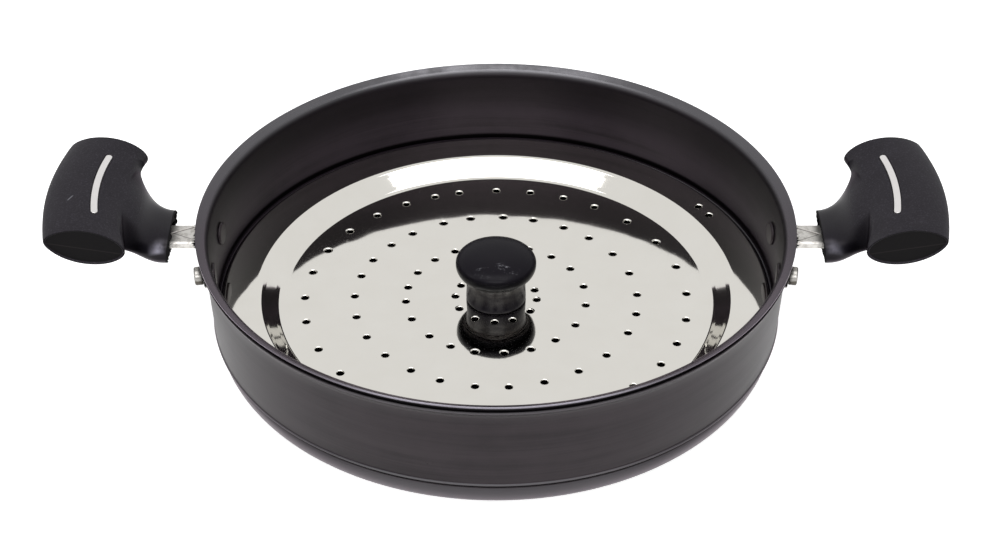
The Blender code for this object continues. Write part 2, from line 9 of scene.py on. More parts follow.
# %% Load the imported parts
from math import asin, cos, degrees, pi, radians, sin, sqrt, tan
from random import Random

import bmesh
import bpy
from mathutils import Matrix, Vector
from mathutils.geometry import delaunay_2d_cdt


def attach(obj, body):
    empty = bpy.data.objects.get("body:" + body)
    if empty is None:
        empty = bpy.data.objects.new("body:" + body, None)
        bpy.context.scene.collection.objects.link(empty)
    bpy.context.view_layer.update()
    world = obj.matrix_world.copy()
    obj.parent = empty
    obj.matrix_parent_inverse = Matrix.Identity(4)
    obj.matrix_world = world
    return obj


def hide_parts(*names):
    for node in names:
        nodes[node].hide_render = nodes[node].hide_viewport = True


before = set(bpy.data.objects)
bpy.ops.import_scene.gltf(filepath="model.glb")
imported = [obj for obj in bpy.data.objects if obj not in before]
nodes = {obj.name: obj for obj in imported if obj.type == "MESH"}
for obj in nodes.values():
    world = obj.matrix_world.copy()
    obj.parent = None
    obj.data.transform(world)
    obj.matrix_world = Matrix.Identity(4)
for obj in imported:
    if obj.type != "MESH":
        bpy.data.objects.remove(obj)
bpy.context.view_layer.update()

MM = 0.001

# %% [markdown]
# ## The camera
#
# The camera looks down at about 36 degrees from a metre away, with a lens a little longer than normal.
# A longer lens from further off keeps the two handles almost the same size, as in a catalogue picture.

# %% Camera
CAMERA_RISE = 0.634  # in radians
CAMERA_REACH = 1.0
LENS_LENGTH = 75.25
FRAME_WIDTH = 36
aim = Vector((1.9, 0, 28.8)) * MM


def placed(name, data):
    """A new object with this data, put into the scene."""
    made = bpy.data.objects.new(name, data)
    bpy.context.scene.collection.objects.link(made)
    return made


camera_data = bpy.data.cameras.new("camera")
camera_data.lens = LENS_LENGTH
camera_data.sensor_width = FRAME_WIDTH
camera = placed("camera", camera_data)
camera.location = aim + CAMERA_REACH * Vector((0, -cos(CAMERA_RISE), sin(CAMERA_RISE)))
camera.rotation_euler = (pi / 2 - CAMERA_RISE, 0, 0)
bpy.context.scene.camera = camera
bpy.context.scene.view_settings.view_transform = "Standard"
print("camera at", [round(c, 3) for c in camera.location])

# %% [markdown]
# ## Shader maths that reads like maths
#
# A finish is a net of shader nodes. Drawn by hand it soon becomes a tangle, so here a wire is a small
# Python object: `1 - mask` or `grain * 0.2 + 0.4` adds the Math nodes for us. Every other node comes from
# one method, `node`, which takes the node's type, its settings, and what goes into its sockets.

# %% A wire, and the operators on it


def operator(operation, reflected=False):
    """A method that adds one Math node. Python calls the reflected form for `1 - mask`."""

    def apply(wire, other):
        return wire.net.maths(operation, *((other, wire) if reflected else (wire, other)))

    return apply


class Wire:
    """One output of a shader node."""

    def __init__(self, net, socket):
        self.net = net
        self.socket = socket

    def output(self, name):
        return Wire(self.net, self.socket.node.outputs[name])

    def __abs__(self):
        return self.net.maths("ABSOLUTE", self)

    __add__ = operator("ADD")
    __radd__ = operator("ADD", reflected=True)
    __sub__ = operator("SUBTRACT")
    __rsub__ = operator("SUBTRACT", reflected=True)
    __mul__ = operator("MULTIPLY")
    __rmul__ = operator("MULTIPLY", reflected=True)
    __truediv__ = operator("DIVIDE")
    __pow__ = operator("POWER")


# %% A net of nodes


class Net:
    """A tree of shader nodes, and the methods that add nodes to it."""

    def __init__(self, tree):
        self.tree = tree

    def feed(self, node, inputs):
        for key, value in inputs.items():
            socket = node.inputs[key]
            if isinstance(value, Wire):
                self.tree.links.new(value.socket, socket)
            elif socket.type == "RGBA":
                socket.default_value = (*value, 1)
            else:
                socket.default_value = value

    def node(self, kind, settings=None, inputs=None, output=0):
        made = self.tree.nodes.new(kind)
        for key, value in (settings or {}).items():
            setattr(made, key, value)
        self.feed(made, inputs or {})
        return Wire(self, made.outputs[output])

    def maths(self, operation, *values):
        return self.node("ShaderNodeMath", {"operation": operation}, dict(enumerate(values)))

    def place(self):
        return self.node("ShaderNodeTexCoord", output="Object")

    def axes(self):
        x = self.node("ShaderNodeSeparateXYZ", inputs={0: self.place()}, output="X")
        return x, x.output("Y"), x.output("Z")

    def joined(self, x, y, z):
        return self.node("ShaderNodeCombineXYZ", inputs={0: x, 1: y, 2: z})

    def noise(self, where, scale, detail=2, roughness=0.5):
        inputs = {"Vector": where, "Scale": scale, "Detail": detail, "Roughness": roughness}
        return self.node("ShaderNodeTexNoise", inputs=inputs)

    def mix(self, mask, first, second):
        """The first colour where the mask is 0, the second where it is 1."""
        inputs = {0: mask, 6: first, 7: second}
        return self.node("ShaderNodeMix", {"data_type": "RGBA", "clamp_factor": True}, inputs, output=2)

    def bump(self, height, strength, distance, under=None):
        inputs = {"Strength": strength, "Distance": distance, "Height": height}
        if under:
            inputs["Normal"] = under
        return self.node("ShaderNodeBump", inputs=inputs)


# %% [markdown]
# Most details of a finish sit at a certain height or distance. A mask that climbs softly between two
# sizes finds such a place, and a second one that falls again makes a band of it.

# %% A finish: one material and its masks


class Finish(Net):
    """A material: a net that ends in its own Principled shader."""

    def __init__(self, name, **constants):
        self.material = bpy.data.materials.new(name)
        self.material.use_nodes = True
        super().__init__(self.material.node_tree)
        self.shader = self.tree.nodes["Principled BSDF"]
        self.dress(constants)

    def dress(self, inputs):
        """Feed the shader, where base_color means its socket Base Color."""
        names = {key: key.replace("_", " ").title().replace("Ior", "IOR") for key in inputs}
        self.feed(self.shader, {names[key]: value for key, value in inputs.items()})

    def surface(self, **inputs):
        self.dress(inputs)
        print("finish", self.material.name, "has", len(self.tree.nodes), "nodes")
        return self.material

    def step(self, value, low, high):
        """0 below low, 1 above high, and a soft climb between."""
        inputs = {"Value": value, "From Min": low, "From Max": high}
        return self.node("ShaderNodeMapRange", {"interpolation_type": "SMOOTHSTEP"}, inputs)

    def rise(self, value, low, high):
        """The same climb between two sizes in millimetres."""
        return self.step(value, low * MM, high * MM)

    def fall(self, value, low, high):
        """1 below low and 0 above high, in millimetres."""
        return 1 - self.rise(value, low, high)

    def band(self, value, low, full, less, high):
        """1 between full and less, and 0 outside low and high, in millimetres."""
        return self.rise(value, low, full) * self.fall(value, less, high)


# %% [markdown]
# ## The studio
#
# The pan stands on a pale floor that runs out to a white background. For the camera and for reflections
# the floor and the world are lifted to white; what lights the pan is a plain soft sky and three large
# softboxes, at a level where a colour looks about as it is written.

# %% Floor
FLOOR_HALF = 6.0
FLOOR_LEVEL = -0.2 * MM
FLOOR_LIFT = 0.75

floor_mesh = bpy.data.meshes.new("floor")
corners = [(x * FLOOR_HALF, y * FLOOR_HALF, FLOOR_LEVEL) for x, y in ((-1, -1), (1, -1), (1, 1), (-1, 1))]
floor_mesh.from_pydata(corners, [], [(0, 1, 2, 3)])
floor = placed("floor", floor_mesh)

floor_finish = Finish("pale_floor", base_color=(0.8, 0.8, 0.8), roughness=0.9, specular_ior_level=0.0)
ray = floor_finish.node("ShaderNodeLightPath", output="Is Camera Ray")
mirrored_or_through = ray.output("Is Glossy Ray") + ray.output("Is Transmission Ray")
strength = ray * FLOOR_LIFT + mirrored_or_through * FLOOR_LIFT
lift = floor_finish.node("ShaderNodeEmission", inputs={"Color": (1, 1, 1), "Strength": strength})
matt = Wire(floor_finish, floor_finish.shader.outputs[0])
lifted = floor_finish.node("ShaderNodeAddShader", inputs={0: matt, 1: lift})
floor_finish.feed(floor_finish.tree.nodes["Material Output"], {"Surface": lifted})
floor_mesh.materials.append(floor_finish.material)
print("floor", 2 * FLOOR_HALF, "m wide")

# %% World
SKY_LEVEL = 0.36
SEEN_LEVEL = 1.0

world = bpy.data.worlds.new("studio")
world.use_nodes = True
bpy.context.scene.world = world
sky = Net(world.node_tree)
ray = sky.node("ShaderNodeLightPath", output="Is Camera Ray")
seen = sky.maths("MAXIMUM", ray, ray.output("Is Glossy Ray"))
seen = sky.maths("MAXIMUM", seen, ray.output("Is Transmission Ray"))
level = sky.node("ShaderNodeMapRange", inputs={"Value": seen, "To Min": SKY_LEVEL, "To Max": SEEN_LEVEL})
sky.feed(sky.tree.nodes["Background"], {"Color": (1, 1, 1), "Strength": level})
print("sky at", SKY_LEVEL)

# %% Softboxes


def softbox(name, place, toward, width, height, power):
    lamp = bpy.data.lights.new(name, "AREA")
    lamp.shape = "RECTANGLE"
    lamp.size = width
    lamp.size_y = height
    lamp.energy = power
    made = placed(name, lamp)
    made.location = place
    made.rotation_euler = (Vector(toward) - Vector(place)).to_track_quat("-Z", "Y").to_euler()
    print(name, power, "W")


softbox("overhead", (0, -0.42, 1.35), (0, -0.05, 0), width=1.6, height=0.9, power=13)
softbox("front", (0, -1.4, 0.88), (0, 0, 0.03), width=1.4, height=0.65, power=12)
softbox("left_side", (-1.5, -0.5, 0.9), (0, 0, 0.03), width=0.9, height=0.9, power=4)

# %% [markdown]
# ## Meshes from plain lists
#
# Most of a pan is turned: a line swept round an axis. Helpers turn a line into a mesh, round its corners
# and step it sideways by the thickness of the sheet. The finished mesh is shaded smooth, except where it
# really has an edge.

# %% Mesh helpers
WELD = 0.0005 * MM


def mesh_from(name, points, faces, weld=0, folds=None):
    """A mesh with its faces turned outward. Folds says how sharp an edge between two points stays."""
    mesh = bpy.data.meshes.new(name)
    mesh.from_pydata(points, [], faces)
    bm = bmesh.new()
    bm.from_mesh(mesh)
    if weld:
        bmesh.ops.remove_doubles(bm, verts=bm.verts, dist=weld)
    bmesh.ops.recalc_face_normals(bm, faces=bm.faces)
    if folds:
        sharpness = bm.edges.layers.float.new("crease_edge")
        for edge in bm.edges:
            edge[sharpness] = folds.get(tuple(sorted(corner.index for corner in edge.verts)), 0)
    bm.to_mesh(mesh)
    bm.free()
    return mesh


def settle(name, mesh, finish, body, stands_for=None, edge=32):
    """A smooth piece with sharp edges above an angle. It rides on a body and may stand for a CAD part."""
    mesh.shade_smooth()
    mesh.set_sharp_from_angle(angle=radians(edge))
    mesh.materials.append(finish)
    piece = placed(name, mesh)
    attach(piece, body)
    if stands_for:
        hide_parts(stands_for)
    print(name, len(mesh.polygons), "faces")
    return piece


def build(name, points, faces, finish, body, stands_for=None, edge=32, slot=None):
    """A piece from plain lists in metres, welded where its points meet."""
    return settle(name, mesh_from(name, points, faces, WELD), finish, body, stands_for, edge)


def second_finish(piece, finish, test):
    """Give the faces that pass the test a second finish."""
    piece.data.materials.append(finish)
    for face in piece.data.polygons:
        face.material_index = 1 if test(face) else 0


# %% Lines, and the tubes made from them
ON_AXIS = 1e-6


def arc(centre, radius, start, end, count, radius_z=None):
    """Points (r, z) from one angle in degrees to another, round a circle or an ellipse."""
    radius_z = radius_z or radius
    angles = [radians(start + (end - start) * i / (count - 1)) for i in range(count)]
    return [(centre[0] + radius * cos(a), centre[1] + radius_z * sin(a)) for a in angles]


def eased(corners, radius, count=9):
    """A line through these corners, with an arc of this radius in each."""
    path = [corners[0]]
    for before, corner, after in zip(corners, corners[1:], corners[2:]):
        corner = Vector(corner)
        back = (Vector(before) - corner).normalized()
        ahead = (Vector(after) - corner).normalized()
        half = back.angle(ahead) / 2
        centre = corner + (back + ahead).normalized() * radius / sin(half)
        start = corner + back * radius / tan(half) - centre
        end = corner + ahead * radius / tan(half) - centre
        turn = start.angle_signed(end)
        path += [tuple(centre + Matrix.Rotation(-turn * i / (count - 1), 2) @ start) for i in range(count)]
    return path + [corners[-1]]


def turned(profile, steps, first=0):
    """The points and faces of a profile (r, z), in millimetres, swept round Z."""
    turns = [2 * pi * i / steps for i in range(steps)]
    points = []
    rows = []
    for r, z in profile:
        start = first + len(points)
        if r < ON_AXIS:
            rows.append([start] * steps)
            points.append((0, 0, z * MM))
        else:
            rows.append([start + i for i in range(steps)])
            points += [(r * MM * cos(turn), r * MM * sin(turn), z * MM) for turn in turns]
    faces = []
    for upper, lower in zip(rows, rows[1:]):
        for i in range(steps):
            j = (i + 1) % steps
            faces.append(tuple(dict.fromkeys((upper[i], lower[i], lower[j], upper[j]))))
    return points, faces


def tube_faces(rings, count):
    """The faces of a tube, where the points of its rings follow each other in one list."""
    faces = []
    for base in range(0, (rings - 1) * count, count):
        for i in range(count):
            j = (i + 1) % count
            faces.append((base + i, base + j, base + count + j, base + count + i))
    return faces


# %% [markdown]
# ## Hard anodising
#
# The pan is spun aluminium with a hard, dark oxide skin. The skin is matt and slightly uneven, and the
# turning marks of the spinning show through it as faint rings. A ring follows the radius on the floor and
# the height on the wall, so their sum makes one coordinate that is right on both. The lip, where lids and
# spoons rub, is burnished: it throws light back like a dark metal, and so catches the softboxes. The bead
# and the foot below the crease, the ridge under the lip and the right side of the shoulder beside the plate
# get a painted sheen of that metal. The groove under the lip and the upper inside wall get painted shade.

# %% Burnished lip, places of painted sheen, and the painted shade under the lip, in millimetres of height and reach
LIP_LEVEL, LIP_REACH = (60.5, 62), (134.5, 136.4)
UNDER_SHADE_LEVEL, UNDER_SHADE_REACH = (64.75, 64.9), (137.6, 138.0)
RIDGE_LEVEL, RIDGE_REACH = (62.6, 62.8), (138.5, 138.9)
BASE_LEVEL, BASE_REACH = (30, 40), (121, 125)
BEAD_BAND, FOOT_LEVEL = (17.9, 18.1, 18.7, 19.0), (15.0, 15.6)
SHOULDER_BAND, SHOULDER_REACH = (23.8, 24.2, 25.0, 25.2), (130.6, 130.8, 131.9, 132.1)


def front_sides_shade(finish):
    """The left and the right of the front half, where painted shade darkens the lip's metal and its ridge.
    """
    x, y, _ = finish.axes()
    return finish.rise(abs(x), 40, 85) * finish.fall(y, -30, 60)


def burnish_and_sheen(finish, reach, clouds, wide):
    """Rubbed metal on the lip, painted sheen on bead, foot, ridge and shoulder, and painted shade under the
    lip.
    """
    x, _, z = finish.axes()
    # painted shade: the groove under the lip's edge
    under = finish.rise(reach, *UNDER_SHADE_REACH) * finish.fall(z, *UNDER_SHADE_LEVEL)
    lip = finish.rise(z, *LIP_LEVEL) * finish.rise(reach, *LIP_REACH)
    lip = lip * (0.7 + clouds * 0.25 + wide * 0.25) * (1 - under)
    # painted sheen on the bead and the foot below the crease
    base = finish.band(z, *BEAD_BAND) * 0.75 + finish.fall(z, *FOOT_LEVEL) * 0.42
    base = base * finish.rise(reach, *BASE_REACH) * finish.fall(z, *BASE_LEVEL)
    # painted highlight on the ridge under the lip's edge
    ridge = finish.rise(reach, *RIDGE_REACH) * finish.fall(z, *RIDGE_LEVEL)
    shoulder = finish.band(z, *SHOULDER_BAND) * finish.band(reach, *SHOULDER_REACH)
    # painted highlight: the shoulder shines on the right side only, where the light falls on it
    shoulder = shoulder * finish.rise(x, -20, 60)
    rubbed_and_sheen = lip + base + ridge * (0.36 - front_sides_shade(finish) * 0.2) + shoulder * 0.55
    return rubbed_and_sheen, under * (1 - ridge)


# %% [markdown]
# The lip's metal isn't the same all round. A painted highlight makes its top lightest at the back and its
# square edge lighter than its top, and painted shade darkens both at the left and right of the front. Two
# places are blacker than the rest: the crevice above the shoulder, painted black as shade since it sees
# hardly any light, and some scuffs low on the front wall.

# %% Colours of the lip with painted highlight and shade, and the black places: painted shade and scuffs
LIP_TOP, LIP_TOP_SHADED_SIDES, LIP_TOP_HIGHLIGHT_BACK = (0.106, 0.104, 0.111), (0.064, 0.061, 0.067), (0.27, 0.265, 0.285)
LIP_EDGE, LIP_EDGE_SHADED_SIDES = (0.21, 0.2, 0.23), (0.085, 0.08, 0.092)
CREVICE_SHADE_BAND, CREVICE_SHADE_REACH = (24.9, 25.2, 26.8, 28.4), (133.2, 133.6)
SCUFF_X, SCUFF_Z, SCUFF_SIZE = 29.5 * MM, 26.5 * MM, (2, 5.5)


def lip_metal_and_painted_light(finish, reach, clouds):
    x, y, _ = finish.axes()
    sides = front_sides_shade(finish)
    # painted highlight: the lip's top is lighter at the back
    back = finish.rise(y - abs(x) * 0.35, 85, 132) * finish.step(clouds, 0.3, 0.62)
    back = back * finish.rise(reach, 136.0, 137.6)
    top = finish.mix(back, finish.mix(sides, LIP_TOP, LIP_TOP_SHADED_SIDES), LIP_TOP_HIGHLIGHT_BACK)
    # painted highlight on the square edge, and painted shade on it at the front sides
    edge = finish.mix(sides, LIP_EDGE, LIP_EDGE_SHADED_SIDES)
    return finish.mix(finish.rise(reach, 139.65, 139.85), top, edge)


def scuffs_and_crevice_shade(finish, reach):
    x, y, z = finish.axes()
    # painted shade: the crevice above the shoulder is coloured black
    crevice_shade = finish.band(z, *CREVICE_SHADE_BAND) * finish.fall(reach, *CREVICE_SHADE_REACH)
    scuffs = finish.fall(((x + SCUFF_X) ** 2 + (z - SCUFF_Z) ** 2 * 1.6) ** 0.5, *SCUFF_SIZE)
    scuffs = scuffs * finish.step(finish.noise(finish.place(), 620, 3, 0.6), 0.58, 0.66)
    return crevice_shade, scuffs * finish.rise(y * -1, 0, 10)


# %% Hard-anodised finish
SHADOW = (0.001, 0.0008, 0.001)
BLACK = (0.0008, 0.0008, 0.0008)


def anodised_finish(name, colour, streaks, roughness, specular, painted_top_shade=0.0):
    finish = Finish(name, specular_ior_level=specular, specular_tint=(1.0, 0.87, 0.96))
    x, y, z = finish.axes()
    reach = (x * x + y * y) ** 0.5
    turning = finish.noise(finish.joined(x * 8, y * 8, (reach + z) * 1100), 1.0, 4, 0.6)
    wide = finish.noise(finish.joined(x * 10, y * 10, (reach + z) * 160), 1.0, 3, 0.55)
    clouds = finish.noise(finish.place(), 38, 4, 0.6)
    grain = finish.noise(finish.place(), 2600, 2)
    rubbed_and_sheen, under = burnish_and_sheen(finish, reach, clouds, wide)
    crevice_shade, scuffs = scuffs_and_crevice_shade(finish, reach)
    tone = finish.step(clouds * 0.4 + wide * streaks + turning * streaks * 0.6, 0.35, 0.75)
    shade = finish.mix(tone, tuple(c * 0.45 for c in colour), tuple(c * 1.9 for c in colour))
    # painted shade: the upper part of the inside wall darkens towards SHADOW
    shade = finish.mix(finish.rise(z, 36, 54) * painted_top_shade, shade, SHADOW)
    # painted shade in the groove under the lip's edge
    shade = finish.mix(under, shade, (0.001, 0.001, 0.0012))
    # the lip's rubbed metal, with its painted highlights, and the painted sheen elsewhere
    shade = finish.mix(rubbed_and_sheen, shade, lip_metal_and_painted_light(finish, reach, clouds))
    # black for the real scuffs, and painted shade in the crevice
    shade = finish.mix(scuffs * 0.9 + crevice_shade * 0.9, shade, BLACK)
    # the crevice's painted shade is also made metallic, so it reflects only black
    metallic = rubbed_and_sheen * 0.85 + crevice_shade * 0.85
    rough = roughness - 0.06 + clouds * 0.08 + turning * 0.1 - rubbed_and_sheen * 0.14 + scuffs * 0.3
    relief = finish.bump(turning * 0.7 + grain * 0.3, 0.45, 0.05 * MM)
    return finish.surface(base_color=shade, metallic=metallic, roughness=rough, normal=relief)


pan_outside = anodised_finish("hard_anodised", (0.0103, 0.0084, 0.0093), 0.5, 0.36, 0.2)
# the inside is a slightly darker copy, with painted shade on its upper wall
pan_inside = anodised_finish("hard_anodised_inside", (0.0092, 0.0071, 0.0092), 0.6, 0.36, 0.12, painted_top_shade=0.75)

# %% [markdown]
# ## The pan
#
# One profile runs from the middle of the floor, over the ledge that carries the plate and the low shoulder
# that centres it, up the wall, round the flared lip and down the outside. Under the lip's square edge lie
# a fine groove and a ridge, left by the trimming wheel. Near the foot a small bead and a groove mark where
# the base was pressed. A groove is dark because it only sees itself, and a bead catches the light: so each
# pair draws a bright and a dark line.
# The finish adds to both: painted shade in the groove under the lip, and painted sheen on the ridge and the
# bead.

# %% Pan sizes, in millimetres
LIP_RADIUS = 140.0
PAN_HEIGHT = 66.0
WALL = 2.6
FLOOR = 3.25
TAPER = radians(3)
LIP_FILLET = 2.5
LIP_TURN = radians(60)
LIP_RUN = 1.4
CREASE = 16.8
CREASE_STEP = 1.0
BASE_RADIUS = 119.0
FLOOR_CORNER = 9.0
LEDGE = 21.6
LEDGE_WIDTH = 3.4
LIP_MIDDLE = LIP_FILLET + WALL / 2
BEND_LEVEL = PAN_HEIGHT - LIP_MIDDLE * sin(LIP_TURN) - LIP_RUN * cos(LIP_TURN) - WALL / 2
BEND_RADIUS = LIP_RADIUS - WALL / 2 - LIP_RUN * sin(LIP_TURN) + LIP_MIDDLE * cos(LIP_TURN)


def wall_outside(z):
    return BEND_RADIUS - LIP_FILLET - (BEND_LEVEL - z) * tan(TAPER)


def wall_inside(z):
    return wall_outside(z) - WALL


print("wall", round(wall_outside(44), 2), "mm out at the rivets")

# %% Pan profile: the inside
ledge_inner = wall_inside(LEDGE) - LEDGE_WIDTH
shoulder = wall_inside(LEDGE) - 0.62
pan_line = [(0, FLOOR), (40, FLOOR), (80, FLOOR)]
pan_line += arc((ledge_inner - FLOOR_CORNER, FLOOR + FLOOR_CORNER), FLOOR_CORNER, -90, 0, 9)
pan_line += arc((ledge_inner + 0.5, LEDGE - 0.5), 0.5, 180, 90, 5)
pan_line += [(shoulder - 0.4, LEDGE), (shoulder - 0.4, LEDGE + 2.4)]
pan_line += arc((shoulder, LEDGE + 2.65), 0.4, 180, 0, 9) + [(shoulder + 0.4, LEDGE + 0.8)]
pan_line += [(wall_inside(22.6) - 0.1, 22.2), (wall_inside(22.8), 22.8)]
pan_line += [(wall_inside(z), z) for z in (24, 28, 34, 40, 46, 52, 57)]
pan_line += arc((BEND_RADIUS, BEND_LEVEL - 0.75), LIP_FILLET + WALL, 177, 118, 14)

# %% Pan profile: the lip's edge, groove and ridge, measured inward and down from its corner
LIP_PROFILE = (
    (1.4, 0.72), (0.35, 0.2), (0.17, 0.16), (0.02, 0.28), (0, 0.42), (0, 0.9), (0.1, 1.05),
    (0.4, 1.15), (1.55, 1.2), (1.6, 2.6), (1.6, 4.1), (1.4, 4.25), (0.9, 3.75), (0.75, 3.6),
    (0.62, 3.6), (0.55, 3.85), (0.62, 4.25), (0.95, 5.0), (1.5, 5.7), (2.2, 6.4), (2.8, 7.4),
)
pan_line += [(LIP_RADIUS - inward, PAN_HEIGHT - down) for inward, down in LIP_PROFILE]

# %% Pan profile: the outside
bead = wall_outside(CREASE + 1.1)
foot = wall_outside(CREASE) - CREASE_STEP
band_top = CREASE - 1.7
pan_line += [(wall_outside(z), z) for z in (57, 52, 46, 40, 34, 28, 22, 18.4)]
pan_line += [(bead + 0.1, CREASE + 2.3), (bead + 0.42, CREASE + 1.8), (bead + 0.5, CREASE + 1.3)]
pan_line += [(bead + 0.3, CREASE + 0.8), (foot - 1.3, CREASE + 0.6), (foot - 1.5, CREASE + 0.3)]
pan_line += [(foot - 1.5, CREASE - 1.9), (foot - 1.3, CREASE - 2.0), (foot - 0.4, CREASE - 1.25)]
pan_line += [(foot - 0.15, CREASE - 1.2), (foot - 0.02, CREASE - 1.4)]
pan_line += arc((BASE_RADIUS, band_top), foot - BASE_RADIUS, 0, -90, 15, band_top)[1:]
pan_line += [(118, 0.0), (117.4, 0.35), (90, 0.35), (60, 0.35), (59.5, 0.0), (0, 0.0)]
print("pan profile of", len(pan_line), "points")

# %% Pan body
PAN_STEPS = 224
BOWL_LEVELS = (3, 64.4)
BEND_STARTS = 60
WALL_MARGIN = 0.4
LIP_INSET = 2.35


def inside_pan(face):
    """Whether this face looks into the bowl: above the floor's bottom, and below the burnished lip."""
    x, y, z = face.center / MM
    inner = wall_inside(z) + WALL_MARGIN if z < BEND_STARTS else BEND_RADIUS - LIP_INSET
    return BOWL_LEVELS[0] < z < BOWL_LEVELS[1] and Vector((x, y)).length < inner


points, faces = turned(pan_line, PAN_STEPS)
pan = build("pan_spun", points, faces, pan_outside, "pan", "pan_body", edge=40, slot="anodised")
second_finish(pan, pan_inside, inside_pan)

# %% [markdown]
# ## The mirror-polished plate
#
# The plate is thin stainless sheet, polished until it mirrors the pan and the room. Steel throws back only
# about two thirds of the light, so a white room looks a warm light grey in it. A real sheet is never quite
# flat: a slow, faint ripple bends the reflections, and polishing leaves hair-fine lines.

# %% Mirror steel finish


def mirror_steel_finish():
    finish = Finish("mirror_steel", metallic=1.0)
    place = finish.place()
    ripple = finish.noise(place, 24, 2, 0.4)
    haze = finish.noise(place, 60, 4, 0.6)
    smears = finish.step(finish.noise(place, 95, 5, 0.7), 0.62, 0.8)
    hairs = finish.noise(finish.joined(*[c * s for c, s in zip(finish.axes(), (300, 4200, 4200))]), 1.0, 2)
    colour = finish.mix(haze, (0.70, 0.685, 0.645), (0.655, 0.635, 0.59))
    rough = 0.035 + haze * 0.03 + smears * 0.09
    slow = finish.bump(ripple, 0.7, 0.42 * MM)
    relief = finish.bump(hairs, 0.06, 0.004 * MM, slow)
    return finish.surface(base_color=colour, roughness=rough, normal=relief)


mirror_steel = mirror_steel_finish()

# %% [markdown]
# The plate's steam holes are punched, which draws the sheet down round each hole into a small funnel. That
# rim is what glints. The flat parts are filled between the holes with a Delaunay triangulation, the folds
# are turned, and all of it is welded into one sheet with a true thickness.

# %% Plate sizes and hole pattern
SHEET = 0.8
PLATE_SEAT = LEDGE + 0.3
FLANGE_TOP = PLATE_SEAT + 4.2
DISC_TOP = FLANGE_TOP - 7.9
PLATE_RADIUS = wall_inside(FLANGE_TOP) - 2.2
FLANGE_INNER = PLATE_RADIUS - 17.3
DISC_RADIUS = FLANGE_INNER - 9.6
STEAM_RINGS = (
    (19.6, (18, 51, 84, 117, 150, 177, 207, 239, 268, 294, 326, 355)),
    (43.4, (12, 33, 51, 68, 85, 102, 118, 134, 152, 169, 184, 203, 224, 241, 257, 275, 292, 310, 330, 352)),
    (68.1, (2, 17, 32, 47, 60, 74, 87, 101, 113, 128, 140, 153, 165)),
    (68.1, (179, 193, 207, 221, 235, 248, 262, 275, 289, 304, 319, 336, 349)),
    (92.0, (2, 16, 30, 44, 57, 68, 79, 90, 102, 110, 120, 131, 143, 155, 167)),
    (92.0, (180, 192, 206, 219, 232, 246, 259, 273, 286, 300, 313, 326, 337, 349)),
)
VENTS = (28.7, 32.9)


def on_circle(radius, azimuth):
    return radius * cos(radians(azimuth)), radius * sin(radians(azimuth))


steam_holes = [on_circle(radius, azimuth) for radius, azimuths in STEAM_RINGS for azimuth in azimuths]
vent_holes = [on_circle(PLATE_RADIUS - 8.65, azimuth) for azimuth in VENTS]
print(len(steam_holes), "steam holes and", len(vent_holes), "vents")

# %% A flat ring of sheet with punched holes
PLATE_STEPS = 192
HOLE_STEPS = 24
FUNNEL = ((2.5, 0.0), (2.28, -0.02), (2.1, -0.06), (1.95, -0.14), (1.82, -0.28), (1.73, -0.5), (1.7, -0.8))
BURR = ((1.72, -1.0), (1.84, -1.06), (2.0, -0.98), (2.15, -0.86), (2.4, -0.8))


def loop(radius, count, centre=(0, 0)):
    steps = [2 * pi * i / count for i in range(count)]
    return [(centre[0] + radius * cos(a), centre[1] + radius * sin(a)) for a in steps]


def flat_fill(loops, level, kept):
    """Triangles between these closed loops, where a triangle's middle passes the test."""
    flat = [Vector(point) for points in loops for point in points]
    edges = []
    start = 0
    for points in loops:
        edges += [(start + i, start + (i + 1) % len(points)) for i in range(len(points))]
        start += len(points)
    made, _, faces, *_ = delaunay_2d_cdt(flat, edges, [], 0, 1e-6)
    faces = [f for f in faces if kept(sum((made[i] for i in f), Vector((0, 0))) / len(f))]
    return [(x * MM, y * MM, level * MM) for x, y in made], faces


def punched(inner, outer, level, holes):
    """Top and bottom of a flat ring, and the funnel and burr of every hole in it."""
    points, faces = [], []
    for drop, radius in ((0, FUNNEL[0][0]), (-SHEET, BURR[-1][0])):
        loops = [loop(outer, PLATE_STEPS)] + [loop(radius, HOLE_STEPS, hole) for hole in holes]
        if inner:
            loops.append(loop(inner, PLATE_STEPS))

        def kept(middle, radius=radius):
            if not inner < middle.length < outer:
                return False
            return all((middle - Vector(hole)).length > radius * 0.99 for hole in holes)

        more, sides = flat_fill(loops, level + drop, kept)
        faces += [tuple(i + len(points) for i in f) for f in sides]
        points += more
    for hole in holes:
        more, sides = turned([(r, z + level) for r, z in FUNNEL + BURR], HOLE_STEPS, len(points))
        points += [(x + hole[0] * MM, y + hole[1] * MM, z) for x, y, z in more]
        faces += sides
    return points, faces


# %% The whole plate


def stepped(line, distance):
    """A line moved sideways by a distance, to the right of its run."""
    moved = []
    for i, (r, z) in enumerate(line):
        before = Vector(line[max(i - 1, 0)])
        after = Vector(line[min(i + 1, len(line) - 1)])
        here = Vector((r, z))
        runs = [run.normalized() for run in (here - before, after - here) if run.length > 1e-6]
        along = sum(runs, Vector((0, 0))).normalized()
        out = Vector((along.y, -along.x))
        moved.append(tuple(here + out * distance / max(along.dot(runs[0]), 0.5)))
    return moved


def add(piece, more):
    points, faces = piece
    faces += [tuple(i + len(points) for i in f) for f in more[1]]
    points += more[0]


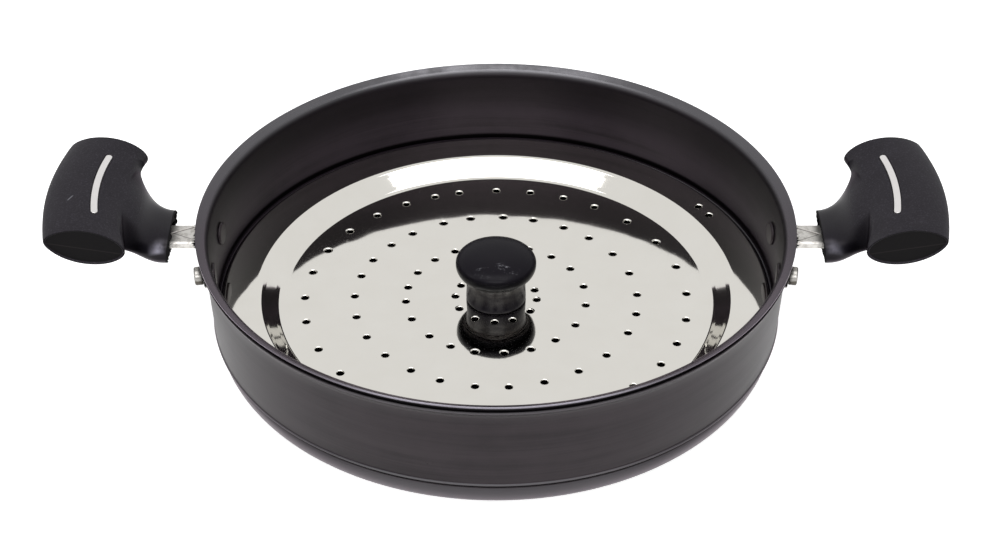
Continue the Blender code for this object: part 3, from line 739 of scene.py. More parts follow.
FOLD = 4.0
DISC_FLAT = DISC_RADIUS - 2
RING_FLAT = FLANGE_INNER + 2
RING_END = PLATE_RADIUS - 3
low, high = Vector((DISC_RADIUS, DISC_TOP)), Vector((FLANGE_INNER, FLANGE_TOP))
sway = Vector((-0.014, 0.018))  # the press leaves the band steeper at both folds than in its middle
slope = [low, low.lerp(high, 0.28) + sway, low.lerp(high, 0.72) - sway, high]
band = eased([(DISC_FLAT, DISC_TOP), *map(tuple, slope), (RING_FLAT, FLANGE_TOP)], FOLD)
skirt = eased([(RING_END, FLANGE_TOP), (PLATE_RADIUS, FLANGE_TOP), (PLATE_RADIUS, PLATE_SEAT)], 1.5)
plate = punched(0, DISC_FLAT, DISC_TOP, steam_holes)
add(plate, punched(RING_FLAT, RING_END, FLANGE_TOP, vent_holes))
add(plate, turned(band, PLATE_STEPS))
add(plate, turned(stepped(band, SHEET), PLATE_STEPS))
add(plate, turned(skirt + stepped(skirt, SHEET)[::-1], PLATE_STEPS))
dish = build("plate_polished", *plate, mirror_steel, "plate", "dish_plate", edge=40, slot="mirror_steel")
even = dish.modifiers.new("even_shading", "WEIGHTED_NORMAL")
even.keep_sharp = True
print("plate", round(PLATE_RADIUS, 2), "mm in radius")

# %% [markdown]
# ## The knob
#
# The knob is moulded in a hard black resin: a domed cap to hold, a waist for the fingertips, and a foot on
# the plate. It is smooth but not polished, and its top carries a few pale rub marks from use. Its waist has
# a painted brownish sheen, lighter towards the top, and under the cap's rim lies painted shade.

# %% Glossy resin finish


def gloss_resin_finish():
    finish = Finish("gloss_resin", specular_ior_level=0.07, coat_roughness=0.3)
    place = finish.place()
    x, y, z = finish.axes()
    clouds = finish.noise(place, 120, 4, 0.6)
    fine = finish.noise(place, 1800, 2)
    near = finish.fall((x ** 2 * 0.25 + (y + 0.0125) ** 2 * 1.2) ** 0.5, 3, 6.2)
    rubs = finish.step(finish.noise(finish.joined(x * 0.7, y * 1.3, z), 230, 6, 0.8), 0.55, 0.67)
    rubs = rubs * near * finish.rise(z, 38, 41)
    # painted sheen on the waist: a streaky brownish reflection, lighter towards its top
    cloudy = finish.step(finish.noise(finish.joined(x, y, z * 3), 130, 4, 0.65), 0.35, 0.7)
    painted_waist_sheen = finish.band(z, 20.5, 23.5, 32.5, 33.5) * (0.35 + cloudy * 0.65)
    painted_waist_sheen = painted_waist_sheen * (0.2 + finish.rise(z, 22, 31) * 0.8)
    # painted shade under the cap's rim: nearly black and metallic, so it reflects little
    under_cap = finish.band(z, 33, 33.6, 36, 41.8)
    shade = finish.mix(painted_waist_sheen, (0.0068, 0.0058, 0.0085), (0.016, 0.0125, 0.0115))
    shade = finish.mix(rubs * 0.85, shade, (0.19, 0.19, 0.21))
    shade = finish.mix(under_cap, shade, (0.002, 0.002, 0.0026))
    finish.dress({"roughness": 0.27 + clouds * 0.1 + rubs * 0.2, "metallic": under_cap * 0.92})
    relief = finish.bump(clouds * 0.6 + fine * 0.4, 0.25, 0.02 * MM)
    return finish.surface(base_color=shade, coat_weight=painted_waist_sheen * 0.6, normal=relief)


gloss_resin = gloss_resin_finish()

# %% Knob
KNOB_FOOT = DISC_TOP + 0.3
CAP_RADIUS = 19.2
CAP_WIDEST = KNOB_FOOT + 19.9
CAP_DOME = 6.6
WAIST = 14.3
WAIST_TOP = KNOB_FOOT + 14.3
COLLAR = ((0.9, 0.35), (1.0, 0.8), (0.8, 1.3), (0.2, 1.7), (-0.1, 2.6))  # out from the waist, and down
DOME_POINTS = 24
DOME_FROM = 87
DOME_TURN = 3.7
DOME_FULLNESS = 0.8  # below 1 it is flatter on top and fuller at the rim than an ellipse
BORE = 4.3
BORE_DEPTH = 12.6
KNOB_STEPS = 96

knob_line = [(0, CAP_WIDEST + CAP_DOME)]
for i in range(DOME_POINTS):
    lean = radians(DOME_FROM - DOME_TURN * i)
    out, up = cos(lean) ** DOME_FULLNESS, sin(lean) ** DOME_FULLNESS
    knob_line.append((CAP_RADIUS * out, CAP_WIDEST + CAP_DOME * up))
under_cap = CAP_RADIUS - WAIST - 0.5
knob_line += arc((WAIST + 0.5, CAP_WIDEST), under_cap, -6, -90, 14, CAP_WIDEST - WAIST_TOP)
knob_line += [(WAIST + out, WAIST_TOP - down) for out, down in COLLAR]
knob_line += [(WAIST - 0.2, KNOB_FOOT + 6), (WAIST, KNOB_FOOT + 2), (WAIST + 0.02, KNOB_FOOT + 0.5)]
knob_line += [(WAIST - 0.3, KNOB_FOOT), (BORE, KNOB_FOOT), (BORE, KNOB_FOOT + BORE_DEPTH)]
knob_line.append((0, KNOB_FOOT + BORE_DEPTH))
points, faces = turned(knob_line, KNOB_STEPS)
build("knob_moulded", points, faces, gloss_resin, "plate", "knob", edge=35, slot="gloss_bakelite")

# %% [markdown]
# ## Handles
#
# Each handle is one moulding: an oval bar to grip, bowed along its length, and a neck that comes down to
# the bracket. The bar has the fine pebbled skin of a spark-eroded mould. The neck is smoother. Painted
# shade darkens the fold where it leaves the bar and the part below its open end, and a painted highlight
# lies on its lower front near that end.

# %% Handle sizes, in millimetres
RIVET_HEIGHT = PAN_HEIGHT - 22.0
RIVET_WALL = wall_outside(RIVET_HEIGHT)
ARM_TOP = RIVET_HEIGHT + 11.7
ARM_DEPTH = 3.3
ARM_MIDDLE = ARM_TOP - ARM_DEPTH / 2
NECK_END = RIVET_WALL + 17.3
GRIP_MIDDLE = (RIVET_WALL + 53.9, ARM_TOP + 20.4)
GRIP_TILT = radians(10)
GRIP_LENGTH = 78.0
GRIP_HALF_WIDTH = 18.7
GRIP_HALF_HEIGHT = 9.3
GRIP_BOW = 5.0
SEAM_DROP = 1.2

# %% Marks on the resin, and the painted shade and highlight of the neck
SCRATCH = (-194.5 * MM, -14 * MM)


def from_seam(finish):
    """How far a point lies above or below the mould's seam, which runs round the grip."""
    x, _, z = finish.axes()
    level = (z - GRIP_MIDDLE[1] * MM) * cos(GRIP_TILT) - (abs(x) - GRIP_MIDDLE[0] * MM) * sin(GRIP_TILT)
    return abs(level + SEAM_DROP * MM)


def scratch(finish):
    """A short scratch, aslant on top of the left grip."""
    x, y, z = finish.axes()
    x, y = x - SCRATCH[0], y - SCRATCH[1]
    across = finish.fall(abs(x * 0.88 - y * 0.47), 0.1, 0.45)
    along = finish.fall(abs(x * 0.47 + y * 0.88), 1.2, 2.6)
    return across * along * finish.rise(z, 72, 76)


def neck_fold_shade_and_highlight(finish, clouds):
    """The fold round the neck's root, the painted shade there and below the open end, and a painted
    highlight.
    """
    x, y, z = finish.axes()
    out = abs(x)
    beyond = out + y * y * 3.3 - (RIVET_WALL + 36.2) * MM
    flank = finish.rise(abs(y), 11, 19)
    # the fold is a groove in the bump and also takes painted shade
    fold = finish.fall(abs(beyond), 0.1, 0.5) * flank
    hollow_shade = finish.fall(abs(beyond + 3 * MM), 1, 8) * finish.rise(beyond * -1, 0, 0.4) * flank
    underside_shade = finish.fall(out, RIVET_WALL + 24, RIVET_WALL + 34)
    underside_shade = underside_shade * finish.fall(z, ARM_MIDDLE - 2, ARM_MIDDLE + 1.5)
    # painted shade: the fold, the hollow beside it, and the underside below the open end
    neck_shade = fold * 0.9 + (hollow_shade + underside_shade * (1 - hollow_shade)) * 0.75
    # painted highlight on the neck's lower front near its open end, half as strong on the right handle
    neck_highlight = finish.band(out, RIVET_WALL + 17, RIVET_WALL + 21, RIVET_WALL + 21, RIVET_WALL + 26)
    neck_highlight = neck_highlight * finish.band(z, ARM_MIDDLE + 0.5, ARM_MIDDLE + 3, ARM_MIDDLE + 3, ARM_MIDDLE + 8)
    neck_highlight = neck_highlight * finish.rise(abs(y), 8, 13) * finish.step(clouds, 0.3, 0.6)
    return fold, neck_shade, neck_highlight * (1 - finish.rise(x, -1, 1) * 0.5)


# %% Textured resin finish


def matt_resin_finish():
    tint = (1.0, 0.93, 1.0)
    finish = Finish("matt_resin", specular_ior_level=0.15, specular_tint=tint, coat_roughness=0.24)
    place = finish.place()
    x, _, z = finish.axes()
    clouds = finish.noise(place, 90, 4, 0.6)
    pebbles = finish.noise(place, 1500, 3, 0.6)
    specks = finish.step(finish.noise(place, 1100, 4, 0.75), 0.48, 0.72)
    neck = finish.fall(abs(x) + z * 0.35, RIVET_WALL + 49, RIVET_WALL + 58)
    fold, neck_shade, neck_highlight = neck_fold_shade_and_highlight(finish, clouds)
    smooth = finish.mix(clouds, (0.0022, 0.0018, 0.003), (0.0062, 0.0056, 0.0082))
    shade = finish.mix(clouds * 0.35 + specks * 0.65, (0.0058, 0.0050, 0.0070), (0.037, 0.034, 0.042))
    shade = finish.mix(neck * 0.8, shade, smooth)
    shade = finish.mix(scratch(finish) * 0.8, shade, (0.16, 0.16, 0.18))
    # painted shade in the neck's fold, its hollow and below its open end
    shade = finish.mix(neck_shade, shade, (0.0022, 0.0018, 0.003))
    # painted highlight near the neck's open end
    shade = finish.mix(neck_highlight, shade, (0.24, 0.232, 0.28))
    # the painted shade and the painted highlight are also made metallic
    finish.dress({"roughness": 0.58 - neck * 0.3 + clouds * 0.06, "metallic": neck_shade + neck_highlight * 0.6})
    relief = finish.bump(pebbles * (1 - neck * 0.75), 0.5, 0.09 * MM)
    relief = finish.bump(finish.fall(from_seam(finish), 0.05, 0.16), 0.4, 0.12 * MM, relief)
    relief = finish.bump(1 - fold, 0.5, 0.2 * MM, relief)
    return finish.surface(base_color=shade, coat_weight=neck * 0.04, normal=relief)


def end_resin_finish():
    """A darker, rougher copy of the resin, painted shade on the grip's ends and in the neck's mouth, with
    its seam.
    """
    finish = Finish("shaded_end_resin", specular_ior_level=0.08)
    swirls = finish.noise(finish.place(), 260, 4, 0.65)
    seam = finish.fall(from_seam(finish), 0.1, 0.4)
    shade = finish.mix(swirls, (0.0014, 0.0012, 0.0014), (0.0048, 0.0042, 0.0046))
    shade = finish.mix(seam * 0.45, shade, (0.02, 0.017, 0.017))
    relief = finish.bump(swirls, 0.3, 0.08 * MM)
    return finish.surface(base_color=shade, roughness=0.5 + swirls * 0.2, normal=relief)


matt_resin = matt_resin_finish()
shaded_end_resin = end_resin_finish()

# %% [markdown]
# A subdivision surface suits the moulding. We lay out a coarse cage of rings along the bar, leave a window
# in its inner side, and run rings of the same count from the window down the neck. Subdivision then blends
# the two as the mould maker's radius does.

# %% Grip cage
RING_ANGLES = (0, 28, 56, 84, 112, 140, 180, 220, 248, 276, 304, 332)
WINDOW = (-33, -17, 0, 17, 33)
LENS = 1.3  # above 1 the section's two edges draw in to a softened point
CAGE_GROWTH = 1 / 0.955  # subdivision draws a ring of twelve points in by this much


def bow(along):
    radius = (GRIP_LENGTH**2 / 4 + GRIP_BOW**2) / (2 * GRIP_BOW)
    return sqrt(radius**2 - along**2) - radius


def grip_place(x, y, z):
    """From the grip's own tilted frame to the pan's, in millimetres, for the right handle."""
    return (
        GRIP_MIDDLE[0] + x * cos(GRIP_TILT) - z * sin(GRIP_TILT),
        y,
        GRIP_MIDDLE[1] + x * sin(GRIP_TILT) + z * cos(GRIP_TILT),
    )


def grip_ring(along, grow=1.0, inset=0.0):
    ring = []
    for angle in RING_ANGLES:
        x = (GRIP_HALF_WIDTH * grow - inset) * CAGE_GROWTH * cos(radians(angle))
        rise = sin(radians(angle))
        z = (GRIP_HALF_HEIGHT * grow - inset) * CAGE_GROWTH * rise * abs(rise) ** (LENS - 1)
        ring.append(grip_place(x + bow(min(max(along, -GRIP_LENGTH / 2), GRIP_LENGTH / 2)), along, z))
    return ring


NECK_SHAPE = ((-0.88, 0.80), (-0.46, 0.98), (0, 1.0), (0.46, 0.98), (0.88, 0.80), (1.04, 0))
NECK_SHAPE += tuple((-y, -z) for y, z in NECK_SHAPE)


def neck_ring(along, width, height, level, droop=0.0):
    """A ring of the neck. With droop its shoulders fall away, so the grip stands proud above them."""
    grow = 1.045
    shape = [(y, z * (1 - droop * y * y)) for y, z in NECK_SHAPE]
    return [(NECK_END + along - z * height * tan(GRIP_TILT), y * width * grow, level + z * height * grow)
            for y, z in shape]


print("grip", GRIP_LENGTH, "mm long, neck rings of", len(NECK_SHAPE), "points")

# %% Handle mesh
END_ROUND = 0.9
END_DEPTH = 0.7  # how far the grip's flat ends lie below their rims
# The neck's rings: how far out, half their width and height, their level, and the droop of their shoulders
NECK_ROOT = (17.5, 29.5, 7.2, 69.0, 0.6)
NECK_MOUTH = (0.0, 15.5, 7.8, ARM_MIDDLE)
NECK_RINGS = (
    (13.5, 22.4, 7.3, 62.8, 0.4), (9.0, 18.0, 7.6, 57.2, 0.15), (4.6, 16.0, 7.8, 54.6),
    (0.9, 15.5, 7.8, ARM_MIDDLE), NECK_MOUTH, (0.0, 14.4, 6.7, ARM_MIDDLE), (2.5, 14.2, 6.5, ARM_MIDDLE),
)


def handle_cage():
    """The cage of the right handle: its points, in millimetres, its faces, and how sharp its folds are."""
    points, faces = [], []

    def ring(places):
        points.extend(places)
        return list(range(len(points) - len(places), len(points)))

    def sleeve(first, second):
        for i in range(len(first)):
            j = (i + 1) % len(first)
            faces.append((first[i], first[j], second[j], second[i]))

    half = GRIP_LENGTH / 2
    stations = [-half, -half + END_ROUND, *WINDOW, half - END_ROUND, half]
    bars = [ring(grip_ring(along)) for along in stations]
    left, top, low = RING_ANGLES.index(180), RING_ANGLES.index(140), RING_ANGLES.index(220)
    for first, second in zip(range(len(bars) - 1), range(1, len(bars))):
        windowed = stations[first] >= WINDOW[0] and stations[second] <= WINDOW[-1]
        for i in range(len(RING_ANGLES)):
            if windowed and i in (top, left):
                continue
            j = (i + 1) % len(RING_ANGLES)
            faces.append((bars[first][i], bars[first][j], bars[second][j], bars[second][i]))
    for end, sign in ((bars[0], -1), (bars[-1], 1)):
        rim = ring(grip_ring(sign * half, inset=END_ROUND))
        well = ring(grip_ring(sign * (half - END_DEPTH), inset=1.0))
        base = ring(grip_ring(sign * (half - END_DEPTH), inset=1.7))
        middle = ring(grip_ring(sign * (half - END_DEPTH), grow=0.5))
        for first, second in ((end, rim), (rim, well), (well, base), (base, middle)):
            sleeve(first, second)
        faces.append(tuple(middle))
    first_window = stations.index(WINDOW[0])
    rows = range(first_window, first_window + len(WINDOW))
    window = [bars[j][top] for j in rows] + [bars[rows[-1]][left]]
    window += [bars[j][low] for j in reversed(rows)] + [bars[rows[0]][left]]
    root = neck_ring(*NECK_ROOT)
    fold = [tuple(a + (b - a) * 0.16 for a, b in zip(points[i], place)) for i, place in zip(window, root)]
    neck = [ring(fold), ring(root)] + [ring(neck_ring(*sizes)) for sizes in NECK_RINGS]
    for first, second in zip([window] + neck, neck):
        sleeve(first, second)
    faces.append(tuple(neck[-1]))
    folds = {}
    for a, b in zip(window, window[1:] + window[:1]):
        from_middle = abs(points[a][1] + points[b][1]) / 2
        folds[tuple(sorted((a, b)))] = min(max(from_middle - 6, 0) / 20, 0.9)
    return points, faces, folds


def mirrored(places, hand):
    """Turned half round the pan's axis for the left handle, and from millimetres to metres."""
    return [(x * hand * MM, y * hand * MM, z * MM) for x, y, z in places]


cage_points, cage_faces, cage_folds = handle_cage()
HANDS = (("right", 1), ("left", -1))
print("cage of", len(cage_faces), "faces")

# %% [markdown]
# The steel inlay lies in a groove in the top of the grip. We draw its outline once, as two arcs with round
# ends, and use it three times: slightly grown as a cutter for the groove, as the strip itself, and shrunk
# for the strip's eased edge.

# %% Inlay outline and groove cutter
INLAY_LENGTH = 48.0
INLAY_WIDTH = 3.0
INLAY_BOW = 2.4
INLAY_INSET = 3.9
INLAY_TOP = GRIP_HALF_HEIGHT - 0.1


def inlay_outline(grow):
    radius = (INLAY_LENGTH**2 / 4 + INLAY_BOW**2) / (2 * INLAY_BOW)
    half = INLAY_WIDTH / 2 + grow
    swing = degrees(asin((INLAY_LENGTH - INLAY_WIDTH) / 2 / radius))
    centre = (-INLAY_INSET - radius, 0)
    near, far = (arc(centre, radius, angle, angle, 2)[0] for angle in (-swing, swing))
    outline = arc(centre, radius + half, -swing, swing, 25)
    outline += arc(far, half, swing, swing + 180, 13)[1:-1]
    outline += arc(centre, radius - half, swing, -swing, 25)
    outline += arc(near, half, 180 - swing, 360 - swing, 13)[1:-1]
    return outline


def prism(layers):
    """A closed piece through outlines of equal count at rising levels, in the grip's frame."""
    points = [grip_place(x, y, level) for outline, level in layers for x, y in outline]
    count = len(layers[0][0])
    ends = [tuple(range(count)), tuple(range(len(points) - count, len(points)))]
    return points, tube_faces(len(layers), count) + ends


# %% Grips
GROOVE_GAP = 0.42
GROOVE_DEPTH = 1.3
CUTTER_RISE = 3
SUBDIVISIONS = 3


def evaluated(draft):
    """The object's mesh with its modifiers applied; the object itself is thrown away."""
    mesh = bpy.data.meshes.new_from_object(draft.evaluated_get(bpy.context.evaluated_depsgraph_get()))
    bpy.data.objects.remove(draft, do_unlink=True)
    return mesh


def painted_shade_faces(face):
    """The flat ends of the grip and the walls inside the neck's open end, which get the painted shade."""
    at_end = abs(face.center.y) > (GRIP_LENGTH / 2 - 0.95) * MM and abs(face.normal.y) > 0.9
    in_neck = abs(face.center.x) < (NECK_END + 3) * MM and abs(face.normal.x) > 0.8
    return at_end or in_neck


def make_grip(side, hand):
    name = f"{side}_cage"
    cage = placed(name, mesh_from(name, mirrored(cage_points, hand), cage_faces, folds=cage_folds))
    smooth = cage.modifiers.new("smooth", "SUBSURF")
    smooth.levels = SUBDIVISIONS
    smooth.render_levels = SUBDIVISIONS
    outline = inlay_outline(GROOVE_GAP)
    groove = prism([(outline, INLAY_TOP - GROOVE_DEPTH), (outline, INLAY_TOP + CUTTER_RISE)])
    name = f"{side}_cutter"
    cutter = placed(name, mesh_from(name, mirrored(groove[0], hand), groove[1]))
    cut = cage.modifiers.new("groove", "BOOLEAN")
    cut.object = cutter
    mesh = evaluated(cage)
    bpy.data.objects.remove(cutter, do_unlink=True)
    grip = settle(f"{side}_grip_moulded", mesh, matt_resin, "pan", f"{side}_handle_grip",
                  edge=40)
    second_finish(grip, shaded_end_resin, painted_shade_faces)


for side, hand in HANDS:
    make_grip(side, hand)

# %% [markdown]
# Where the two halves of the mould met a worn insert, at the neck's open end, some resin squeezed out and
# was broken off by hand. That left a thin, ragged fringe, worse on one handle than on the other.

# %% Ragged fringe on the neck
RAGGED = {"right": 0.5, "left": 1.5}
FRINGE_STEPS = 132
FRINGE_SEED = 11


def spline(places, count):
    """A closed, smooth line near these places: the same curve that subdivision draws from a cage."""
    line = []
    for step in range(count):
        i, f = divmod(step / count * len(places), 1)
        shares = ((1 - f) ** 3, 3 * f**3 - 6 * f**2 + 4, 3 * f + 3 * f**2 - 3 * f**3 + 1, f**3)
        near = [Vector(places[(int(i) + k) % len(places)]) for k in (-1, 0, 1, 2)]
        line.append(sum((place * share / 6 for place, share in zip(near, shares)), Vector((0, 0, 0))))
    return line


def fringe_mesh(worst):
    """Four lines round the neck's end. The second one sticks out by a tear that grows and shrinks."""
    chance = Random(FRINGE_SEED)
    outline = spline(neck_ring(*NECK_MOUTH), FRINGE_STEPS)
    middle = Vector((NECK_END, 0, ARM_MIDDLE))
    points = []
    tear = 0.3
    for place in outline:
        tear = min(max(tear + chance.uniform(-0.28, 0.28) * worst, 0.12), worst)
        for size, out in ((0.995, 0.4), (0.995, -tear), (0.965, -tear * 0.8), (0.95, 0.4)):
            spread = (place - middle) * size
            points.append((place.x + out, middle.y + spread.y, middle.z + spread.z))
    faces = []
    for i in range(len(outline)):
        here, after = i * 4, (i + 1) % len(outline) * 4
        faces += [(here + k, after + k, after + (k + 1) % 4, here + (k + 1) % 4) for k in range(4)]
    return points, faces


for side, hand in HANDS:
    points, faces = fringe_mesh(RAGGED[side])
    build(f"{side}_neck_fringe", mirrored(points, hand), faces, shaded_end_resin, "pan", slot="matte_bakelite")

# %% [markdown]
# ## Steel strip, brackets and rivets
#
# The inlay is brushed along its length. The brackets are pressed from sheet, so they keep faint rolling
# lines and a satin skin, and the rivets are polished by the setting tool. Use has left stains on the
# brackets. Painted shade darkens the creases of each bracket's V, the bracket where it meets the wall
# under the lip, and the lower half of each rivet.

# %% Steel finishes


def satin_steel_finish(name, colour, stretch, roughness, lower_shade=0.0):
    """Steel with lines along one direction: the stretch says how fine the grain is along x, y and z."""
    finish = Finish(name, metallic=1.0)
    lines = finish.noise(finish.joined(*[c * s for c, s in zip(finish.axes(), stretch)]), 1.0, 4, 0.6)
    haze = finish.noise(finish.place(), 240, 4, 0.65)
    mixed = lines * 0.6 + haze * 0.4
    shade = finish.mix(mixed, tuple(c * 0.86 for c in colour), tuple(c * 1.1 for c in colour))
    # painted shade: the rivet's lower half is darker and browner
    if lower_shade:
        height = finish.axes()[2] + (haze - 0.5) * 3 * MM
        lower_half_shade = finish.fall(height, RIVET_HEIGHT - 0.6, RIVET_HEIGHT + 0.8)
        shade = finish.mix(lower_half_shade * lower_shade, shade, (0.05, 0.043, 0.032))
    rough = roughness + lines * 0.12 + haze * 0.08
    return finish.surface(base_color=shade, roughness=rough, normal=finish.bump(lines, 0.4, 0.01 * MM))


inlay_steel = satin_steel_finish("inlay_steel", (0.70, 0.68, 0.67), (5200, 160, 5200), 0.28)
rivet_metal = satin_steel_finish("rivet_metal", (0.29, 0.28, 0.265), (700, 700, 700), 0.18, lower_shade=0.85)
screw_steel = satin_steel_finish("screw_steel", (0.60, 0.60, 0.61), (1500, 1500, 1500), 0.28)
brass = satin_steel_finish("turned_brass", (0.72, 0.53, 0.24), (900, 900, 6000), 0.3)

# %% Bracket finish
V_TIP = RIVET_WALL + 16.2
V_SLOPE = 0.5
V_ASIDE = 0.5


def bracket_finish():
    """Satin sheet steel with stains, and painted shade along its V and where it meets the wall under the
    lip.
    """
    finish = Finish("bracket_steel", metallic=1.0)
    x, y, z = finish.axes()
    out = abs(x)
    lines = finish.noise(finish.joined(x * 500, y * 2400, z * 2400), 1.0, 4, 0.6)
    stains = finish.step(finish.noise(finish.place(), 420, 5, 0.75), 0.46, 0.62)
    ragged = finish.noise(finish.joined(x * 0.3, y, z), 700, 3, 0.7)
    inside = (V_TIP * MM - out) * V_SLOPE - abs(y * (x / out) + V_ASIDE * MM)
    # painted shade along the creases of the V
    crease = finish.fall(abs(inside), 0.1, 0.5) * finish.rise(z, ARM_TOP - 1, ARM_TOP - 0.7)
    # painted shade where the bracket meets the wall under the lip
    wall_gap_shade = finish.fall(out + (ragged - 0.5) * 9 * MM, 141.2, 141.8)
    wall_gap_shade = wall_gap_shade * finish.rise(z, RIVET_HEIGHT - 3, RIVET_HEIGHT - 1.5)
    shade = finish.mix(lines, (0.52, 0.505, 0.48), (0.66, 0.64, 0.61))
    shade = finish.mix(stains * 0.6, shade, (0.33, 0.31, 0.285))
    shade = finish.mix(crease * 0.85, shade, (0.10, 0.09, 0.085))
    shade = finish.mix(wall_gap_shade, shade, (0.006, 0.006, 0.008))
    rough = 0.34 + lines * 0.12 + stains * 0.1 + wall_gap_shade * 0.3
    return finish.surface(base_color=shade, roughness=rough, normal=finish.bump(lines, 0.4, 0.06 * MM))


bracket_steel = bracket_finish()

# %% Inlay strips
for side, hand in HANDS:
    layers = [(inlay_outline(0), INLAY_TOP - 1.1), (inlay_outline(0), INLAY_TOP - 0.12)]
    layers += [(inlay_outline(-0.1), INLAY_TOP - 0.03), (inlay_outline(-0.3), INLAY_TOP)]
    points, faces = prism(layers)
    build(f"{side}_inlay_strip", mirrored(points, hand), faces, inlay_steel, "pan",
          f"{side}_grip_inlay", edge=30, slot="inlay_steel")

# %% Rivets
RIVET_SPACING = 34.0
RIVET_AZIMUTH = asin(RIVET_SPACING / 2 / RIVET_WALL)
RIVET_STEPS = 48
BRACKET_SHEET = 1.5
HEAD_SEAT = 0.6 + BRACKET_SHEET
HEAD_TOP = HEAD_SEAT + 3.9
INNER_FACE = -WALL - 0.3 - 0.11


def on_wall(points, azimuth):
    """Stand a turned piece on the wall, its axis square to the wall's slope."""
    seat = (RIVET_WALL * MM * cos(azimuth), RIVET_WALL * MM * sin(azimuth), RIVET_HEIGHT * MM)
    lean = Matrix.Rotation(azimuth, 4, "Z") @ Matrix.Rotation(pi / 2 + TAPER, 4, "Y")
    return [tuple(Matrix.Translation(seat) @ lean @ Vector(point)) for point in points]


def in_bowl(face):
    return face.center.xy.length < (RIVET_WALL - 1.2) * MM


rivet_line = [(0, HEAD_TOP - 0.1), (2.0, HEAD_TOP - 0.06), (3.0, HEAD_TOP)]
rivet_line += arc((3.6, HEAD_TOP - 0.8), 0.8, 90, 0, 7)
rivet_line += [(4.4, HEAD_SEAT + 0.4), (4.2, HEAD_SEAT), (2.5, HEAD_SEAT)]
rivet_line += [(2.5, INNER_FACE), (5.5, INNER_FACE)]
rivet_line += arc((4.6, INNER_FACE - 0.1), 0.9, 0, -90, 6) + [(0, INNER_FACE - 1.0)]
rivet_points, rivet_faces = turned(rivet_line, RIVET_STEPS)
for side, hand in HANDS:
    for end, toward in (("front", -1), ("rear", 1)):
        azimuth = toward * RIVET_AZIMUTH if hand > 0 else pi - toward * RIVET_AZIMUTH
        piece = build(f"{side}_{end}_rivet_set", on_wall(rivet_points, azimuth), rivet_faces, rivet_metal,
                      "pan", f"{side}_{end}_rivet", edge=35, slot="rivet_metal")
        second_finish(piece, pan_outside, in_bowl)

# %% [markdown]
# The bracket is a short channel with a flat top that reaches in under the lip. There its sides splay out
# and turn along the wall into two ears, one under each rivet. Pressing it left a V in the top: two narrow
# creases, and between them the sheet dips a little towards the wall.

# %% Bracket: the channel
ARM_HALF = 7.5
TONGUE = 31.5
CHANNEL_END = 4.0
CHANNEL_ROUND = 1.3


def web_dip(x, y):
    """How far the arm's top is pressed down: a V that opens to the wall, and a crease along its edge."""
    inside = (V_TIP - x) * V_SLOPE - abs(y + V_ASIDE)
    return 0.16 * min(max(inside / 0.3, 0), 1) + 0.3 * max(1 - abs(inside) / 0.42, 0)


def channel_section(x):
    """Round the outside of the arm from one foot to the other, and back along the inside."""
    foot = ARM_TOP - ARM_DEPTH
    inner = ARM_HALF - BRACKET_SHEET
    round_y, round_z = ARM_HALF - CHANNEL_ROUND, ARM_TOP - CHANNEL_ROUND
    corner = arc((0, 0), CHANNEL_ROUND, 0, 90, 6)
    across = [round_y * (i / 32 - 1) for i in range(1, 64)]
    line = [(-ARM_HALF, foot)] + [(-round_y - y, round_z + z) for y, z in corner]
    line += [(y, ARM_TOP - web_dip(x, y)) for y in across]
    line += [(round_y + y, round_z + z) for y, z in reversed(corner)] + [(ARM_HALF, foot)]
    line += [(inner, foot), (inner, ARM_TOP - BRACKET_SHEET)]
    line += [(y, ARM_TOP - BRACKET_SHEET - web_dip(x, y)) for y in reversed(across) if abs(y) < inner]
    line += [(-inner, ARM_TOP - BRACKET_SHEET), (-inner, foot)]
    return [(x, y, z) for y, z in line]


def channel_mesh():
    reaches = [CHANNEL_END + 0.3 * i for i in range(45)] + [24.0, TONGUE]
    points = [place for reach in reaches for place in channel_section(RIVET_WALL + reach)]
    count = len(points) // len(reaches)
    faces = tube_faces(len(reaches), count)
    for end in (0, len(points) - count):
        rim = [end + i for i in range(count)]
        flat = [Vector(points[i][1:]) for i in rim]
        edges = [(i, (i + 1) % count) for i in range(count)]
        made, _, cap, *_ = delaunay_2d_cdt(flat, edges, [], 1, 1e-7)
        nearest = [min(range(count), key=lambda i: (flat[i] - corner).length) for corner in made]
        faces += [tuple(rim[nearest[i]] for i in side) for side in cap]
    return points, faces


# %% Bracket: the straps and ears
EAR_ROOT = 11.8
EAR_HALF = 5.5
EAR_TIP = 7.0
EAR_STEPS = 12
EAR_SHAPE = ((0, -1), (0.25, -1.0), (0.8, -1.0), (1, -0.93), (1, 0.93), (0.8, 1.0), (0.25, 1.0), (0, 1))
STRAP_SHAPE = ((0, -1), (0.2, -1.0), (0.8, -1.0), (1, -0.9), (1, 0.7), (0.8, 0.85), (0.2, 0.85), (0, 0.85))


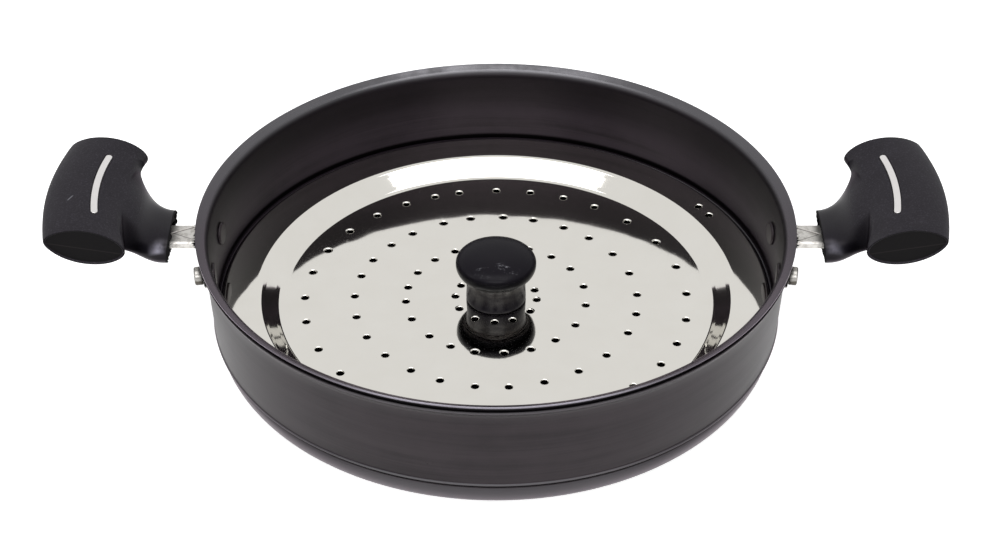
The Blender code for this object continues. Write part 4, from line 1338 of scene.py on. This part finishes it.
def ear_section(azimuth, half_height):
    section = []
    for out, up in EAR_SHAPE:
        z = RIVET_HEIGHT + up * half_height
        radius = wall_outside(z) + 0.3 + out * BRACKET_SHEET
        section.append((radius * cos(azimuth), radius * sin(azimuth), z))
    return section


def strap_section(reach):
    middle = ARM_HALF - BRACKET_SHEET / 2 - 0.03
    return [(RIVET_WALL + reach, middle + (out - 0.5) * BRACKET_SHEET, ARM_MIDDLE + up * ARM_DEPTH / 2)
            for out, up in STRAP_SHAPE]


def strap_mesh(hand):
    """One side of the arm: from the channel's end under the lip, out and down to its ear on the wall."""
    sections = [strap_section(CHANNEL_END + 3), strap_section(CHANNEL_END)]
    bend = sections[-1]
    root = ear_section(asin(EAR_ROOT / RIVET_WALL), EAR_HALF)
    for share in (0.2, 0.4, 0.6, 0.8):
        ease = share * share * (3 - 2 * share)
        shares = (share, share + (ease - share) * 0.5, share)
        section = [tuple(a + (b - a) * s for a, b, s in zip(p, q, shares)) for p, q in zip(bend, root)]
        sections.append(section)
    sections.append(root)
    for i in range(EAR_STEPS):
        along = 0.985 * sin(pi / 2 * i / (EAR_STEPS - 1))
        azimuth = RIVET_AZIMUTH + along * EAR_TIP / RIVET_WALL
        sections.append(ear_section(azimuth, EAR_HALF * sqrt(1 - along**2)))
    points = [(x, hand * y, z) for section in sections for x, y, z in section]
    count = len(root)
    faces = [tuple(range(count)), tuple(range(len(points) - count, len(points)))]
    return points, faces + tube_faces(len(sections), count)


# %% Brackets
bracket = ([], [])
for more in (channel_mesh(), strap_mesh(1), strap_mesh(-1)):
    add(bracket, more)
for side, hand in HANDS:
    build(f"{side}_bracket_pressed", mirrored(bracket[0], hand), bracket[1], bracket_steel, "pan",
          f"{side}_bracket", edge=28, slot="bracket_steel")

# %% [markdown]
# ## The small parts inside
#
# Screws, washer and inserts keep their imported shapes. They show only from below, or when the plate lifts,
# and get the same care in their metals.

# %% Screws, washer and inserts
for name in ("knob_screw", "knob_washer", "right_handle_screw", "left_handle_screw"):
    nodes[name].data.materials[0] = screw_steel
for name in ("knob_insert", "right_handle_insert", "left_handle_insert"):
    nodes[name].data.materials[0] = brass
print("small parts dressed")
